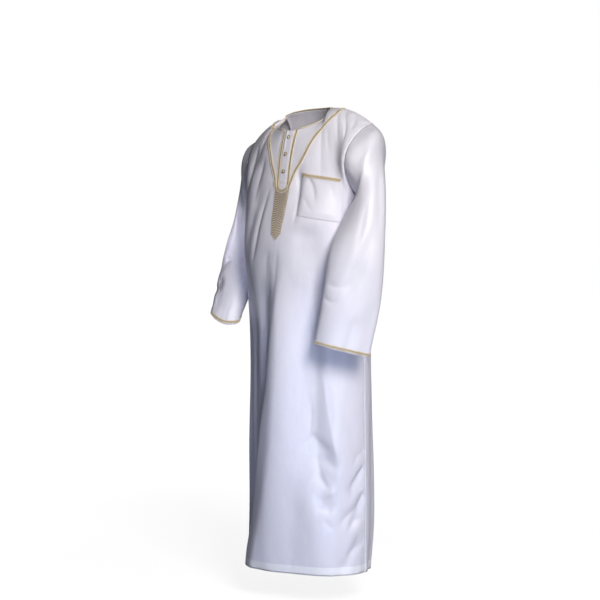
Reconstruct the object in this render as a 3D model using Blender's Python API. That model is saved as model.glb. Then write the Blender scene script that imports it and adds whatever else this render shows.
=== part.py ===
"""Worn thobe robe: front and back panels, set-in sleeves, placket, pocket, braids and buttons.

Frame: metres, +Z up, the robe faces -Y and the wearer's left is +X. The origin is the middle of
the neck at shoulder height, where the robe is held. Each cloth piece is a thin closed wall. The
panels are ruled up from ring sections, the sleeves run from the armholes through rings along the
arms, and the trims are strips laid on the outer face of the piece that carries them.
"""

import math

import bmesh
import bpy
import numpy as np
from mathutils import Vector
from mathutils.bvhtree import BVHTree

# ---- driving sizes -------------------------------------------------------------------------

WALL = 0.0015  # cloth
SEAM_GAP = 0.0004  # between two pieces at a seam
LAY_GAP = 0.0005  # between a trim and the cloth under it
RAISED_GAP = 0.0009  # the same where the cloth under it bends most
TRIM = 0.0012  # a braid or a laid-on strip

HEM_HEIGHT = -1.435
ARMPIT_HEIGHT = -0.300
FRONT, BACK = -1, 1  # the way a panel faces along Y
LEFT, RIGHT = 1, -1  # the wearer's sides along X

PANEL_COLUMNS = 34
LOWER_ROWS = 17
UPPER_ROWS = 12
SLEEVE_ROWS = 18

# Sections of the body from hem to armpit. squareness 0 is an ellipse, 0.07 a rounded box.
BODY_SECTIONS = (
    # height, half_width, front, back, middle_y, squareness
    (-1.435, 0.213, 0.152, 0.150, 0.000, 0.015),
    (-1.320, 0.214, 0.152, 0.190, 0.000, 0.015),
    (-1.150, 0.214, 0.152, 0.192, 0.000, 0.015),
    (-0.950, 0.212, 0.153, 0.170, 0.000, 0.015),
    (-0.750, 0.211, 0.156, 0.152, 0.000, 0.018),
    (-0.600, 0.212, 0.163, 0.149, 0.000, 0.020),
    (-0.410, 0.207, 0.166, 0.143, 0.000, 0.040),
    (-0.300, 0.205, 0.145, 0.137, 0.000, 0.060),
)

# The top of each panel: its neckline at the centre, and how strongly its columns leave the
# armpit ring beside the armhole and arrive at the neckline and the shoulder seam. come_in is how
# much the columns beside the neck arrive from the side, turn_over where across the panel the
# arrival changes from the neckline's to the shoulder's, and fill rounds out that place.
PANEL_TOP = {
    FRONT: dict(
        neck=(0.0, -0.093, -0.078),
        leave_armhole=(-0.050, -0.300, -0.080),
        arrive_neck=(0.0, 0.100, 0.230),
        arrive_shoulder=(0.0, 0.310, 0.070),
        come_in=0.05,
        turn_over=(0.0, 0.5),
        fill=0.0,
    ),
    BACK: dict(
        neck=(0.0, 0.062, -0.002),
        leave_armhole=(-0.040, 0.260, -0.080),
        arrive_neck=(0.0, -0.150, 0.150),
        arrive_shoulder=(0.0, -0.25, 0.025),
        come_in=0.10,
        turn_over=(0.10, 0.50),
        fill=-0.09,
    ),
}
NECK_SHARE = 7 / 17  # of a panel's columns, the middle part that ends on the neckline
NECK_SIDE = {LEFT: (0.086, 0.002, -0.007), RIGHT: (0.097, 0.012, -0.027)}
SHOULDER_TIP = {LEFT: (0.226, 0.018, -0.060), RIGHT: (0.218, 0.050, -0.083)}
SHOULDER_CROWN = {LEFT: 0.016, RIGHT: 0.008}
ARMHOLE_SWING = {LEFT: -0.048, RIGHT: 0.096}  # how the pose carries each armhole back
UPPER_LENGTH = 0.28  # of a panel's columns above the armpit

# Rings along each arm, from the shoulder to the cuff. x grows away from the body, out and fore
# are half sizes, turn swings the outer side to the back and tilt lifts it, both in degrees.
SLEEVE_SECTIONS = {
    LEFT: (
        # along, x, y, z, out, fore, turn, tilt
        (0.035, 0.241, -0.004, -0.190, 0.106, 0.080, 8, 77),
        (0.110, 0.250, -0.028, -0.250, 0.086, 0.074, 14, 62),
        (0.200, 0.262, -0.068, -0.325, 0.078, 0.064, 22, 42),
        (0.320, 0.262, -0.108, -0.440, 0.080, 0.054, 31, 16),
        (0.465, 0.251, -0.129, -0.585, 0.0865, 0.046, 35, -4),
        (0.635, 0.226, -0.148, -0.749, 0.083, 0.037, 35, -14),
    ),
    RIGHT: (
        (0.035, 0.232, 0.050, -0.200, 0.098, 0.074, 4, 79),
        (0.110, 0.240, 0.054, -0.262, 0.080, 0.070, 4, 64),
        (0.210, 0.257, 0.053, -0.345, 0.065, 0.065, 6, 38),
        (0.330, 0.280, 0.030, -0.455, 0.061, 0.060, 14, 12),
        (0.450, 0.282, -0.014, -0.566, 0.062, 0.058, 24, 4),
        (0.575, 0.274, -0.072, -0.661, 0.058, 0.045, 30, 26),
    ),
}

# ---- curves --------------------------------------------------------------------------------


def through(knots, rows, slopes, at):
    """Cubic pieces through rows with given slopes, read at the places in at."""
    knots, at = np.asarray(knots, float), np.asarray(at, float)
    i = np.clip(np.searchsorted(knots, at, side="right") - 1, 0, len(knots) - 2)
    step = knots[i + 1] - knots[i]
    f = (at - knots[i]) / step
    shape = (slice(None),) + (None,) * (rows.ndim - 1)
    f, step = f[shape], step[shape]
    return (
        rows[i] * (1 + 2 * f) * (1 - f) ** 2
        + rows[i + 1] * f * f * (3 - 2 * f)
        + slopes[i] * step * f * (1 - f) ** 2
        - slopes[i + 1] * step * f * f * (1 - f)
    )


def smooth(knots, rows, at):
    """A smooth curve through table rows."""
    rows = np.asarray(rows, float)
    return through(knots, rows, np.gradient(rows, knots, axis=0), at)


def ease(value):
    value = np.clip(value, 0.0, 1.0)
    return value * value * (3 - 2 * value)


def unit(vectors):
    return vectors / np.linalg.norm(vectors, axis=-1, keepdims=True)


# ---- body ----------------------------------------------------------------------------------


def body_ring(heights, turns):
    """Points of the body's sections. Turn 0 is the wearer's left side, -90 the centre front."""
    table = np.array(BODY_SECTIONS)
    sizes = smooth(table[:, 0], table[:, 1:], heights)
    half_width, front, back, middle_y, squareness = sizes.T
    across, depth = np.cos(turns), np.sin(turns)
    swell = 1 + squareness * np.sin(2 * turns) ** 2
    y = middle_y + np.where(depth < 0, front, back) * depth * swell
    return np.stack([half_width * across * swell, y, heights], axis=-1)


def panel_top(face, across):
    """Where the columns of a panel end, on the neckline or the shoulder seam."""
    size, hand = np.abs(across), np.where(across < 0, RIGHT, LEFT)
    neck = np.array(PANEL_TOP[face]["neck"])
    side, tip = (np.array([table[h] for h in hand]) for table in (NECK_SIDE, SHOULDER_TIP))
    crown = np.array([SHOULDER_CROWN[h] for h in hand])[:, None]
    bend = np.clip(size / NECK_SHARE, 0, 1)[:, None] * math.pi / 2
    fall = np.clip(np.cos(bend), 0, 1) ** [1.0, 1.0, 0.65]
    neckline = side + (neck - side) * fall
    neckline[:, :1] = side[:, :1] * np.sin(bend)
    run = np.clip((size - NECK_SHARE) / (1 - NECK_SHARE), 0, 1)[:, None]
    shoulder = side + (tip - side) * run + crown * 4 * run * (1 - run) * [0, 0, 1]
    points = np.where(size[:, None] < NECK_SHARE, neckline, shoulder)
    points[:, 0] *= hand
    points[:, 1] += face * SEAM_GAP / 2 * (size > NECK_SHARE - 1e-6)
    return points


def panel_grid(face, across, ups):
    """Outer face of a panel. ups run 0 at the hem, 1 at the armpit, 2 at the neck."""
    turns = face * (math.pi / 2 - across * math.pi / 2)
    rows = []
    step_down = 0.01
    start = body_ring(np.full(len(across), ARMPIT_HEIGHT), turns)
    below = body_ring(np.full(len(across), ARMPIT_HEIGHT - step_down), turns)
    top = PANEL_TOP[face]
    end = panel_top(face, across)
    edge = ease((np.abs(across) - 0.55) / 0.45)[:, None]
    mirror = np.where(across < 0, -1, 1)[:, None] * [1, 0, 0] + [0, 1, 1]
    leave = (start - below) / step_down * UPPER_LENGTH + edge * mirror * top["leave_armhole"]
    swing = np.interp(across, [-1, 1], [ARMHOLE_SWING[RIGHT], ARMHOLE_SWING[LEFT]])
    leave[:, 1] += edge[:, 0] * swing
    start_turn, end_turn = top["turn_over"]
    shoulder = ease((np.abs(across) - start_turn) / (end_turn - start_turn))[:, None]
    arrive = (1 - shoulder) * top["arrive_neck"] + shoulder * top["arrive_shoulder"]
    beside_neck = ease(np.abs(across) / NECK_SHARE) * ease((1 - np.abs(across)) / 0.5)
    arrive[:, 0] -= np.sign(across) * top["come_in"] * beside_neck
    arrive[:, 1] += top["fill"] * np.exp(-(((np.abs(across) - 0.45) / 0.10) ** 2))
    for up in ups:
        if up <= 1:
            height = HEM_HEIGHT + (ARMPIT_HEIGHT - HEM_HEIGHT) * up
            rows.append(body_ring(np.full(len(across), height), turns))
        else:
            ends = np.stack([start, end])
            rows.append(through([0, 1], ends, np.stack([leave, arrive]), [up - 1])[0])
    return np.array(rows)


def grid_normals(points, face):
    """Outward unit normals of a panel grid."""
    along = np.gradient(points, axis=0)
    sideways = np.gradient(points, axis=1)
    return unit(np.cross(sideways, along)) * -face


# ---- sleeves -------------------------------------------------------------------------------


def sleeve_rings(side, angles):
    """Ring points of the table: angle 0 is the outer line, 90 the front, 180 the underarm."""
    rings = []
    for _, x, y, z, out, fore, turn, tilt in SLEEVE_SECTIONS[side]:
        turn, tilt = math.radians(turn), math.radians(tilt)
        outward = np.array([
            math.cos(turn) * math.cos(tilt), math.sin(turn) * math.cos(tilt), math.sin(tilt)
        ])
        forward = np.array([math.sin(turn), -math.cos(turn), 0.0])
        points = (
            np.array([x, y, z])
            + out * np.cos(angles)[:, None] * outward
            + fore * np.sin(angles)[:, None] * forward
        )
        rings.append(points * [side, 1, 1])
    return np.array(rings)


def sleeve_grid(side, seam, leave, alongs):
    """Outer face of a sleeve from its armhole seam to the cuff."""
    angles = np.arange(len(seam)) * 2 * math.pi / len(seam)
    knots = np.array([0.0] + [row[0] for row in SLEEVE_SECTIONS[side]])
    rows = np.concatenate([seam[None], sleeve_rings(side, angles)])
    slopes = np.gradient(rows, knots, axis=0)
    slopes[0] = leave
    return through(knots, rows, slopes, alongs)


def ring_normals(points, side):
    """Outward unit normals of a sleeve grid, closed round each ring."""
    along = np.gradient(points, axis=0)
    around = (np.roll(points, -1, axis=1) - np.roll(points, 1, axis=1)) / 2
    return unit(np.cross(around, along)) * side


def armhole(side, panels):
    """Seam points round an armhole from the shoulder tip down the front and up the back."""
    column = -1 if side == LEFT else 0
    points, normals, inward = [], [], []
    for face in (FRONT, BACK):
        grid, normal = panels[face]
        rows = list(range(LOWER_ROWS, LOWER_ROWS + UPPER_ROWS + 1))
        rows = rows[::-1] if face == FRONT else rows
        step = 1 if column == 0 else -1
        points.append(grid[rows, column])
        normals.append(normal[rows, column])
        inward.append(grid[rows, column + step] - grid[rows, column])
    ring = np.concatenate([points[0], points[1][1:-1]])
    ring_n = np.concatenate([normals[0], normals[1][1:-1]])
    ring_in = np.concatenate([inward[0], inward[1][1:-1]])
    return ring, ring_n, ring_in


# ---- folds ---------------------------------------------------------------------------------

# Main folds of the panels, as the cloth hangs. A path runs over (sideways, height) points of
# the panel, sideways positive to the wearer's left. depth is out of the panel when positive,
# width_right and width_left are its reach to each side, and fade is how much of each end
# dies away.
FRONT_FOLDS = (
    # path, depth, width_right, width_left, fade
    # the long ridge below the tie panel, with the hollow on its right side
    (((0.005, -0.42), (-0.020, -0.70), (-0.075, -1.05), (-0.150, -1.435)), 0.010, 0.022, 0.060, (0.3, 0)),
    (((-0.030, -0.40), (-0.060, -0.70), (-0.120, -1.05), (-0.195, -1.435)), -0.012, 0.040, 0.030, (0.3, 0)),
    # the diagonal pull from the chest to the right hip
    (((-0.060, -0.22), (-0.105, -0.34), (-0.140, -0.50)), -0.006, 0.020, 0.020, (0.4, 0.5)),
    # the hollows left of the pocket and down the chest
    (((0.050, -0.15), (0.045, -0.28), (0.025, -0.38)), -0.005, 0.014, 0.016, (0.4, 0.5)),
    (((0.115, -0.36), (0.120, -0.55), (0.110, -0.78)), -0.005, 0.025, 0.028, (0.5, 0.5)),
    (((0.190, -0.62), (0.175, -0.80), (0.165, -1.02)), -0.006, 0.024, 0.026, (0.5, 0.5)),
    # the knee
    (((0.115, -1.02), (0.150, -1.09), (0.190, -1.12)), -0.007, 0.018, 0.026, (0.5, 0.4)),
    (((0.105, -1.17), (0.135, -1.22), (0.175, -1.24)), -0.006, 0.016, 0.024, (0.5, 0.4)),
    # drags to the left side seam
    (((0.275, -1.13), (0.235, -1.17), (0.205, -1.22)), -0.006, 0.012, 0.016, (0.2, 0.5)),
    (((0.275, -1.22), (0.235, -1.27), (0.200, -1.30)), -0.007, 0.014, 0.018, (0.2, 0.5)),
    (((0.270, -1.31), (0.215, -1.38), (0.180, -1.435)), -0.006, 0.016, 0.018, (0.2, 0.3)),
    # soft hollows over the hem
    (((0.030, -1.10), (0.050, -1.27), (0.055, -1.435)), -0.006, 0.034, 0.030, (0.5, 0)),
    (((-0.255, -0.80), (-0.262, -1.10), (-0.268, -1.435)), 0.006, 0.020, 0.022, (0.5, 0)),
)
BACK_FOLDS = (
    (((0.030, -0.30), (0.055, -0.75), (0.075, -1.435)), -0.013, 0.034, 0.026, (0.4, 0)),
    (((-0.070, -0.36), (-0.085, -0.85), (-0.110, -1.435)), -0.012, 0.026, 0.036, (0.4, 0)),
    (((0.150, -0.42), (0.165, -0.90), (0.180, -1.435)), -0.011, 0.030, 0.024, (0.5, 0)),
    (((-0.170, -0.50), (-0.190, -0.95), (-0.205, -1.435)), -0.010, 0.024, 0.030, (0.5, 0)),
    (((-0.020, -0.55), (-0.015, -0.95), (-0.025, -1.435)), 0.008, 0.024, 0.028, (0.5, 0)),
    (((0.225, -0.85), (0.235, -1.10), (0.240, -1.435)), -0.006, 0.018, 0.018, (0.5, 0)),
    (((0.120, -0.09), (0.100, -0.17), (0.060, -0.27)), -0.005, 0.018, 0.022, (0.4, 0.5)),
    (((-0.125, -0.10), (-0.110, -0.19), (-0.070, -0.28)), -0.006, 0.022, 0.018, (0.4, 0.5)),
)
PANEL_FOLDS = {FRONT: FRONT_FOLDS, BACK: BACK_FOLDS}
PANEL_REACH = 0.29  # sideways reach of half a panel, in the folds' measure

# Folds of the sleeves over (turn in degrees round the arm, along) points; 0 outer, 90 front.
SLEEVE_FOLDS = {
    LEFT: (
        (((20, 0.09), (35, 0.22), (40, 0.36)), -0.007, 0.020, 0.022, (0.4, 0.5)),
        (((100, 0.36), (70, 0.42), (30, 0.43)), -0.006, 0.014, 0.018, (0.2, 0.5)),
        (((115, 0.41), (85, 0.47), (50, 0.50)), -0.005, 0.014, 0.016, (0.2, 0.5)),
        (((45, 0.42), (40, 0.52), (42, 0.64)), -0.006, 0.022, 0.026, (0.5, 0)),
        (((-60, 0.12), (-75, 0.28), (-70, 0.45)), -0.006, 0.022, 0.020, (0.4, 0.5)),
        (((190, 0.38), (220, 0.44), (260, 0.47)), -0.006, 0.018, 0.018, (0.4, 0.5)),
        (((215, 0.45), (225, 0.55), (222, 0.64)), 0.005, 0.024, 0.022, (0.5, 0)),
    ),
    RIGHT: (
        (((15, 0.08), (30, 0.20), (55, 0.31)), -0.006, 0.018, 0.020, (0.4, 0.5)),
        (((110, 0.34), (75, 0.38), (35, 0.40)), -0.006, 0.016, 0.016, (0.2, 0.5)),
        (((100, 0.41), (70, 0.46), (20, 0.47)), -0.005, 0.014, 0.018, (0.2, 0.5)),
        (((120, 0.42), (128, 0.50), (130, 0.58)), -0.005, 0.020, 0.022, (0.5, 0)),
        (((-70, 0.14), (-60, 0.27), (-75, 0.40)), -0.006, 0.020, 0.022, (0.4, 0.5)),
        (((200, 0.34), (235, 0.40), (270, 0.42)), -0.006, 0.018, 0.016, (0.4, 0.5)),
    ),
}
SLEEVE_REACH = 0.40 / 360  # sideways measure of one degree round a sleeve


def fold_height(folds, u, v, scale=(1.0, 1.0)):
    """Height of all the folds at the places (u, v)."""
    total = np.zeros(u.shape)
    for path, depth, width_right, width_left, (fade_in, fade_out) in folds:
        path = np.array(path, float) * scale
        run = smooth(np.arange(len(path)), path, np.linspace(0, len(path) - 1, 13))
        nearest = np.full(u.shape, np.inf)
        sideways, done = np.zeros(u.shape), np.zeros(u.shape)
        for k in range(len(run) - 1):
            (au, av), (du, dv) = run[k], run[k + 1] - run[k]
            length = math.hypot(du, dv)
            part = np.clip(((u - au) * du + (v - av) * dv) / length**2, 0, 1)
            off_u, off_v = u - au - part * du, v - av - part * dv
            distance = np.hypot(off_u, off_v)
            closer = distance < nearest
            nearest = np.where(closer, distance, nearest)
            sideways = np.where(closer, np.sign(off_u), sideways)
            done = np.where(closer, (k + part) / (len(run) - 1), done)
        width = np.where(sideways < 0, width_right, width_left)
        fade = 1.0
        if fade_in:
            fade = fade * ease(done / fade_in)
        if fade_out:
            fade = fade * ease((1 - done) / fade_out)
        total += depth * fade * np.exp(-((nearest / width) ** 2))
    return total


# ---- solids --------------------------------------------------------------------------------


def wall_faces(rows, columns, closed):
    """Triangles of one point grid; closed joins each row round to its start."""
    faces = []
    for r in range(rows - 1):
        for c in range(columns if closed else columns - 1):
            a, b = r * columns + c, r * columns + (c + 1) % columns
            faces += [(a, b, b + columns), (a, b + columns, a + columns)]
    return faces


def wall_solid(name, outer, inner, closed=False):
    """A thin wall between two point grids of the same shape."""
    rows, columns = outer.shape[:2]
    points = np.concatenate([outer.reshape(-1, 3), inner.reshape(-1, 3)])
    other = rows * columns
    sheet = wall_faces(rows, columns, closed)
    faces = sheet + [tuple(i + other for i in face[::-1]) for face in sheet]
    rim = []
    for r in (0, rows - 1):
        for c in range(columns if closed else columns - 1):
            rim.append((r * columns + c, r * columns + (c + 1) % columns))
    if not closed:
        for c in (0, columns - 1):
            rim += [(r * columns + c, (r + 1) * columns + c) for r in range(rows - 1)]
    for a, b in rim:
        faces += [(a, b, other + b), (a, other + b, other + a)]
    return add_solid(name, points, faces)


def add_solid(name, points, faces):
    """Add a closed mesh as an object, with its faces turned outwards."""
    mesh = bpy.data.meshes.new(name)
    shape = bmesh.new()
    corners = [shape.verts.new(tuple(map(float, p))) for p in points]
    for face in faces:
        shape.faces.new([corners[i] for i in face])
    bmesh.ops.recalc_face_normals(shape, faces=shape.faces)
    if shape.calc_volume(signed=True) < 0:
        bmesh.ops.reverse_faces(shape, faces=shape.faces)
    shape.to_mesh(mesh)
    shape.free()
    solid = bpy.data.objects.new(name, mesh)
    bpy.context.collection.objects.link(solid)
    mesh.materials.append(material(NODE_MATERIALS[name]))
    return solid


def material(kind):
    """The named material, made on first use."""
    if kind not in bpy.data.materials:
        colour, roughness, metallic = MATERIALS[kind]
        made = bpy.data.materials.new(kind)
        made.use_nodes = True
        shader = made.node_tree.nodes["Principled BSDF"]
        shader.inputs["Base Color"].default_value = (*colour, 1.0)
        shader.inputs["Roughness"].default_value = roughness
        shader.inputs["Metallic"].default_value = metallic
    return bpy.data.materials[kind]


class Cloth:
    """The outer face of a cloth piece, to lay trims on."""

    def __init__(self, outer, normals):
        rows, columns = outer.shape[:2]
        points = [Vector(p) for p in outer.reshape(-1, 3)]
        self.tree = BVHTree.FromPolygons(points, wall_faces(rows, columns, False))
        self.turn = 1.0
        self.turn = np.sign(np.sum(self.facing(outer) * normals))

    def onto(self, points):
        """The nearest places on the cloth."""
        shape = points.shape
        found = [self.tree.find_nearest(Vector(p))[0] for p in points.reshape(-1, 3)]
        return np.array([tuple(p) for p in found]).reshape(shape)

    def facing(self, points):
        """Outward direction of the cloth at each place."""
        found = [self.tree.find_nearest(Vector(p)) for p in points.reshape(-1, 3)]
        return np.array([tuple(f[1]) for f in found]).reshape(points.shape) * self.turn

    def front(self, x, z):
        """The cloth's place straight in front of (x, z)."""
        hit = self.tree.ray_cast(Vector((x, -1.0, z)), Vector((0, 1, 0)))[0]
        return np.array(tuple(hit))


def lay(name, cloth, grid, thickness=TRIM, lift=LAY_GAP):
    """Lay a strip or patch given as a rough point grid on a cloth piece."""
    grid = cloth.onto(grid)
    normals = unit(np.cross(np.gradient(grid, axis=1), np.gradient(grid, axis=0)))
    if np.sum(normals * cloth.facing(grid)) < 0:
        normals = -normals
    wall_solid(name, grid + normals * (lift + thickness), grid + normals * lift)
    return grid, normals


def strip(cloth, path, half_width, step, columns):
    """Point grid of a strip along a path of points, at even steps."""
    path = smooth(np.arange(len(path)), path, np.linspace(0, len(path) - 1, 60))
    path = cloth.onto(path)
    length = np.concatenate([[0], np.cumsum(np.linalg.norm(np.diff(path, axis=0), axis=1))])
    places = np.linspace(0, length[-1], max(2, round(length[-1] / step)) + 1)
    centre = np.stack([np.interp(places, length, path[:, k]) for k in range(3)], axis=1)
    aside = unit(np.cross(cloth.facing(centre), np.gradient(centre, axis=0)))
    offsets = np.linspace(-half_width, half_width, columns)[None, :, None]
    return centre[:, None] + aside[:, None] * offsets


# ---- build ---------------------------------------------------------------------------------

MATERIALS = {
    "satin": ((0.82, 0.82, 0.90), 0.42, 0.0),
    "gold_braid": ((0.74, 0.56, 0.25), 0.45, 0.35),
    "pearl_button": ((0.86, 0.80, 0.66), 0.25, 0.1),
}
NODE_MATERIALS = {
    "front_panel": "satin",
    "back_panel": "satin",
    "sleeve_left": "satin",
    "sleeve_right": "satin",
    "placket": "satin",
    "chest_pocket": "satin",
    "neck_trim": "gold_braid",
    "placket_braid_left": "gold_braid",
    "placket_braid_right": "gold_braid",
    "yoke_braid_left": "gold_braid",
    "yoke_braid_right": "gold_braid",
    "tie_panel": "gold_braid",
    "pocket_braid": "gold_braid",
    "cuff_braid_left": "gold_braid",
    "cuff_braid_right": "gold_braid",
    "button_1": "pearl_button",
    "button_2": "pearl_button",
    "button_3": "pearl_button",
}

# Trims of the chest, in metres on the front of the panel.
PLACKET_TOP = -0.0795
PLACKET_END = -0.262
PLACKET_HALF_WIDTHS = (0.0125, 0.0160)  # at its end and at the neck
PLACKET_HUB = PLACKET_END + PLACKET_HALF_WIDTHS[0]  # centre of its round end
BRAID_WIDTH = 0.011
BRAID_GAP = 0.0006  # between a braid and what it runs beside
TIE_TIP = -0.4175
TIE_POINT = 0.019  # height of its pointed end
TIE_LEAN = -0.005  # its tip hangs a little to the wearer's right
TIE_HALF_WIDTHS = ((-0.4175, 0.0172), (-0.398, 0.0175), (-0.3515, 0.0225), (-0.250, 0.0268))
# The yoke braid's middle line, left side, from the placket's end to the shoulder seam.
YOKE_BRAID = (
    (0.0308, -0.135, -0.241),
    (0.052, -0.120, -0.186),
    (0.085, -0.085, -0.115),
    (0.106, -0.050, -0.073),
    (0.122, -0.012, -0.042),
    (0.130, 0.012, -0.024),
)
POCKET_TOP = ((0.068, -0.213), (0.186, -0.232))
POCKET_BOTTOM = ((0.062, -0.345), (0.184, -0.367))
BUTTON_HEIGHTS = (-0.100, -0.153, -0.207)
BUTTON_RADIUS = 0.0058
CUFF_BRAID = (0.003, 0.013)  # from the cuff's edge
NECK_TRIM_WIDTH = 0.006
NECK_TRIM_PROUD = 0.0006
NECK_TRIM_GAP = 0.0010


def folded_panel(face):
    """Outer face and normals of a panel with its folds."""
    across = np.linspace(-1, 1, PANEL_COLUMNS + 1)
    across[[0, -1]] = (-1 + 0.0009, 1 - 0.0009)
    ups = np.concatenate([
        np.linspace(0, 1, LOWER_ROWS + 1), np.linspace(1, 2, UPPER_ROWS + 1)[1:]
    ])
    grid = panel_grid(face, across, ups)
    normals = grid_normals(grid, face)
    sideways = np.broadcast_to(across * PANEL_REACH, grid.shape[:2])
    rise = fold_height(PANEL_FOLDS[face], sideways, grid[..., 2])
    rise = rise * ease((PANEL_REACH - np.abs(sideways)) / 0.03)
    rise = rise * ease((2 - ups) / 0.12)[:, None]
    grid = grid + normals * rise[..., None]
    normals = grid_normals(grid, face)
    seam = np.abs(np.linspace(-1, 1, PANEL_COLUMNS + 1)) >= NECK_SHARE - 1e-6
    along = np.gradient(grid[-1], axis=0)
    upward = unit(np.cross(along, [0.0, 1.0, 0.0]))
    normals[-1][seam] = (upward * np.sign(upward[:, 2:]))[seam]
    for column in (0, -1):
        flat = normals[: LOWER_ROWS + 1, column] * [1, 0, 1]
        normals[: LOWER_ROWS + 1, column] = unit(flat)
    return grid, normals


def folded_sleeve(side, panels):
    """Outer face and normals of a sleeve, set into the armhole of the two panels."""
    ring, ring_normal, inward = armhole(side, panels)
    count = len(ring)
    turn = np.arange(count) / count
    under = ((1 - np.cos(2 * math.pi * turn)) / 2)[:, None] ** 1.6
    leave = unit((1 - under) * unit(-inward) + under * unit(np.array([side, 0.0, -0.3])))
    knots = [row[0] for row in SLEEVE_SECTIONS[side]]
    cuff = knots[-1]
    alongs = np.concatenate([np.linspace(0, cuff - 0.016, SLEEVE_ROWS), [cuff]])
    grid = sleeve_grid(side, ring + leave * SEAM_GAP, leave, alongs)
    normals = ring_normals(grid, side)
    degrees = np.broadcast_to(turn * 360, grid.shape[:2])
    along = np.broadcast_to(alongs[:, None], grid.shape[:2])
    rise = 0.0
    for wrap in (-360, 0, 360):
        rise = rise + fold_height(
            SLEEVE_FOLDS[side], (degrees + wrap) * SLEEVE_REACH, along, (SLEEVE_REACH, 1.0)
        )
    rise = rise * ease(along / 0.06)
    grid = grid + normals * rise[..., None]
    normals = ring_normals(grid, side)
    around = (np.roll(grid[0], -1, axis=0) - np.roll(grid[0], 1, axis=0)) / 2
    first = unit(np.cross(around, leave)) * side
    blend = under ** 0.5
    normals[0] = unit((1 - blend) * ring_normal + blend * first)
    return grid, normals


def build_button(name, place, facing):
    """A small round button with a raised rim, standing on the placket."""
    profile = (
        (0.0, 0.0), (0.80, 0.0), (1.0, 0.0010), (1.0, 0.0022), (0.84, 0.0028), (0.66, 0.0022),
        (0.34, 0.0026), (0.0, 0.0028),
    )
    around = 16
    facing = unit(facing)
    aside = unit(np.cross(facing, [0.0, 0.0, 1.0]))
    upward = np.cross(aside, facing)
    points = [place + facing * profile[0][1]]
    for radius, height in profile[1:-1]:
        for k in range(around):
            turn = 2 * math.pi * k / around
            spoke = math.cos(turn) * aside + math.sin(turn) * upward
            points.append(place + facing * height + spoke * radius * BUTTON_RADIUS)
    points.append(place + facing * profile[-1][1])
    faces = []
    last = len(points) - 1
    for k in range(around):
        n = (k + 1) % around
        faces.append((0, 1 + n, 1 + k))
        faces.append((last, last - around + k, last - around + n))
        for ring in range(len(profile) - 3):
            a, b = 1 + ring * around + k, 1 + ring * around + n
            faces.append((a, b, b + around, a + around))
    add_solid(name, points, faces)


def build_neck_trim(panels):
    """The narrow gold edging that binds the neckline, open where the placket stands."""
    middle = PANEL_COLUMNS // 2
    reach = round(NECK_SHARE * middle)
    stops = []
    start = 1.62  # columns from the centre where the edging begins
    for face, columns in (
        (FRONT, [middle + start] + list(range(middle + 2, middle + reach + 1))),
        (BACK, list(range(middle + reach - 1, middle - reach, -1))),
        (FRONT, list(range(middle - reach, middle - 1)) + [middle - start]),
    ):
        stops += [(face, column) for column in columns]
    edge, onward, facing = [], [], []
    for face, column in stops:
        grid, normals = panels[face]
        k, part = int(column), column - int(column)
        read = lambda rows: rows[k] * (1 - part) + rows[min(k + 1, PANEL_COLUMNS)] * part
        top, below = read(grid[-1]), read(grid[-2])
        if abs(column - middle) == reach:
            below = grid[-1][k + (1 if k > middle else -1)]
        edge.append(top)
        onward.append(unit(top - below))
        facing.append(unit(read(normals[-1])))
    edge, onward, facing = np.array(edge), np.array(onward), np.array(facing)
    onward[1:-1] = unit(onward[:-2] + 2 * onward[1:-1] + onward[2:])
    grid = np.stack([edge + onward * NECK_TRIM_GAP, edge + onward * NECK_TRIM_WIDTH])
    wall_solid("neck_trim", grid + facing * NECK_TRIM_PROUD, grid - facing * NECK_TRIM_PROUD)


def placket_half_width(height):
    """Half width of the placket, which ends in a half round."""
    bottom, top = PLACKET_HALF_WIDTHS
    width = np.interp(height, [PLACKET_END, PLACKET_TOP], [bottom, top])
    drop = np.clip(PLACKET_HUB - height, 0, bottom * 0.99)
    return width * math.sqrt(1 - (drop / bottom) ** 2)


def build_placket(front):
    """The placket strip down the chest, and its outer face."""
    straight = np.linspace(PLACKET_TOP, PLACKET_HUB, 20)
    rounded = PLACKET_HUB - PLACKET_HALF_WIDTHS[0] * np.sin(np.radians([18, 36, 54, 70, 82]))
    rows = []
    for height in np.concatenate([straight, rounded]):
        spread = placket_half_width(height) * np.linspace(-1, 1, 5)
        rows.append([front.front(x, height) for x in spread])
    placket, facing = lay("placket", front, np.array(rows))
    return Cloth(placket + facing * (LAY_GAP + TRIM), facing)


def build_placket_braids(front):
    """A braid down each side of the placket, the two meeting below its round end."""
    across = np.linspace(0, 1, 3) * BRAID_WIDTH + BRAID_GAP
    for name, hand in (("placket_braid_left", LEFT), ("placket_braid_right", RIGHT)):
        rows = []
        for height in np.linspace(PLACKET_TOP, PLACKET_HUB, 20):
            spread = placket_half_width(height) + across
            rows.append([front.front(hand * x, height) for x in spread])
        for turn in np.radians([14, 29, 44, 59, 74, 86.6]):
            ring = PLACKET_HALF_WIDTHS[0] + across
            down, aside = math.sin(turn), hand * math.cos(turn)
            rows.append([front.front(r * aside, PLACKET_HUB - r * down) for r in ring])
        lay(name, front, np.array(rows))


def build_tie_panel(front):
    """The tie-shaped panel below the placket, hollowed at its top round the two braids."""
    heights, half_widths = np.array(TIE_HALF_WIDTHS).T
    hollow = PLACKET_HALF_WIDTHS[0] + BRAID_WIDTH + 3 * BRAID_GAP
    rows = []
    for part in np.linspace(0, 1, 17):
        row = []
        for u in np.linspace(-1, 1, 11):
            top = PLACKET_HUB - math.sqrt(max(hollow**2 - (u * half_widths[-1]) ** 2, 0.0))
            height = top + (TIE_TIP + abs(u) * TIE_POINT - top) * part
            x = u * np.interp(height, heights, half_widths) + TIE_LEAN * ease(part)
            row.append(front.front(x, height))
        rows.append(row)
    lay("tie_panel", front, np.array(rows))


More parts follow.
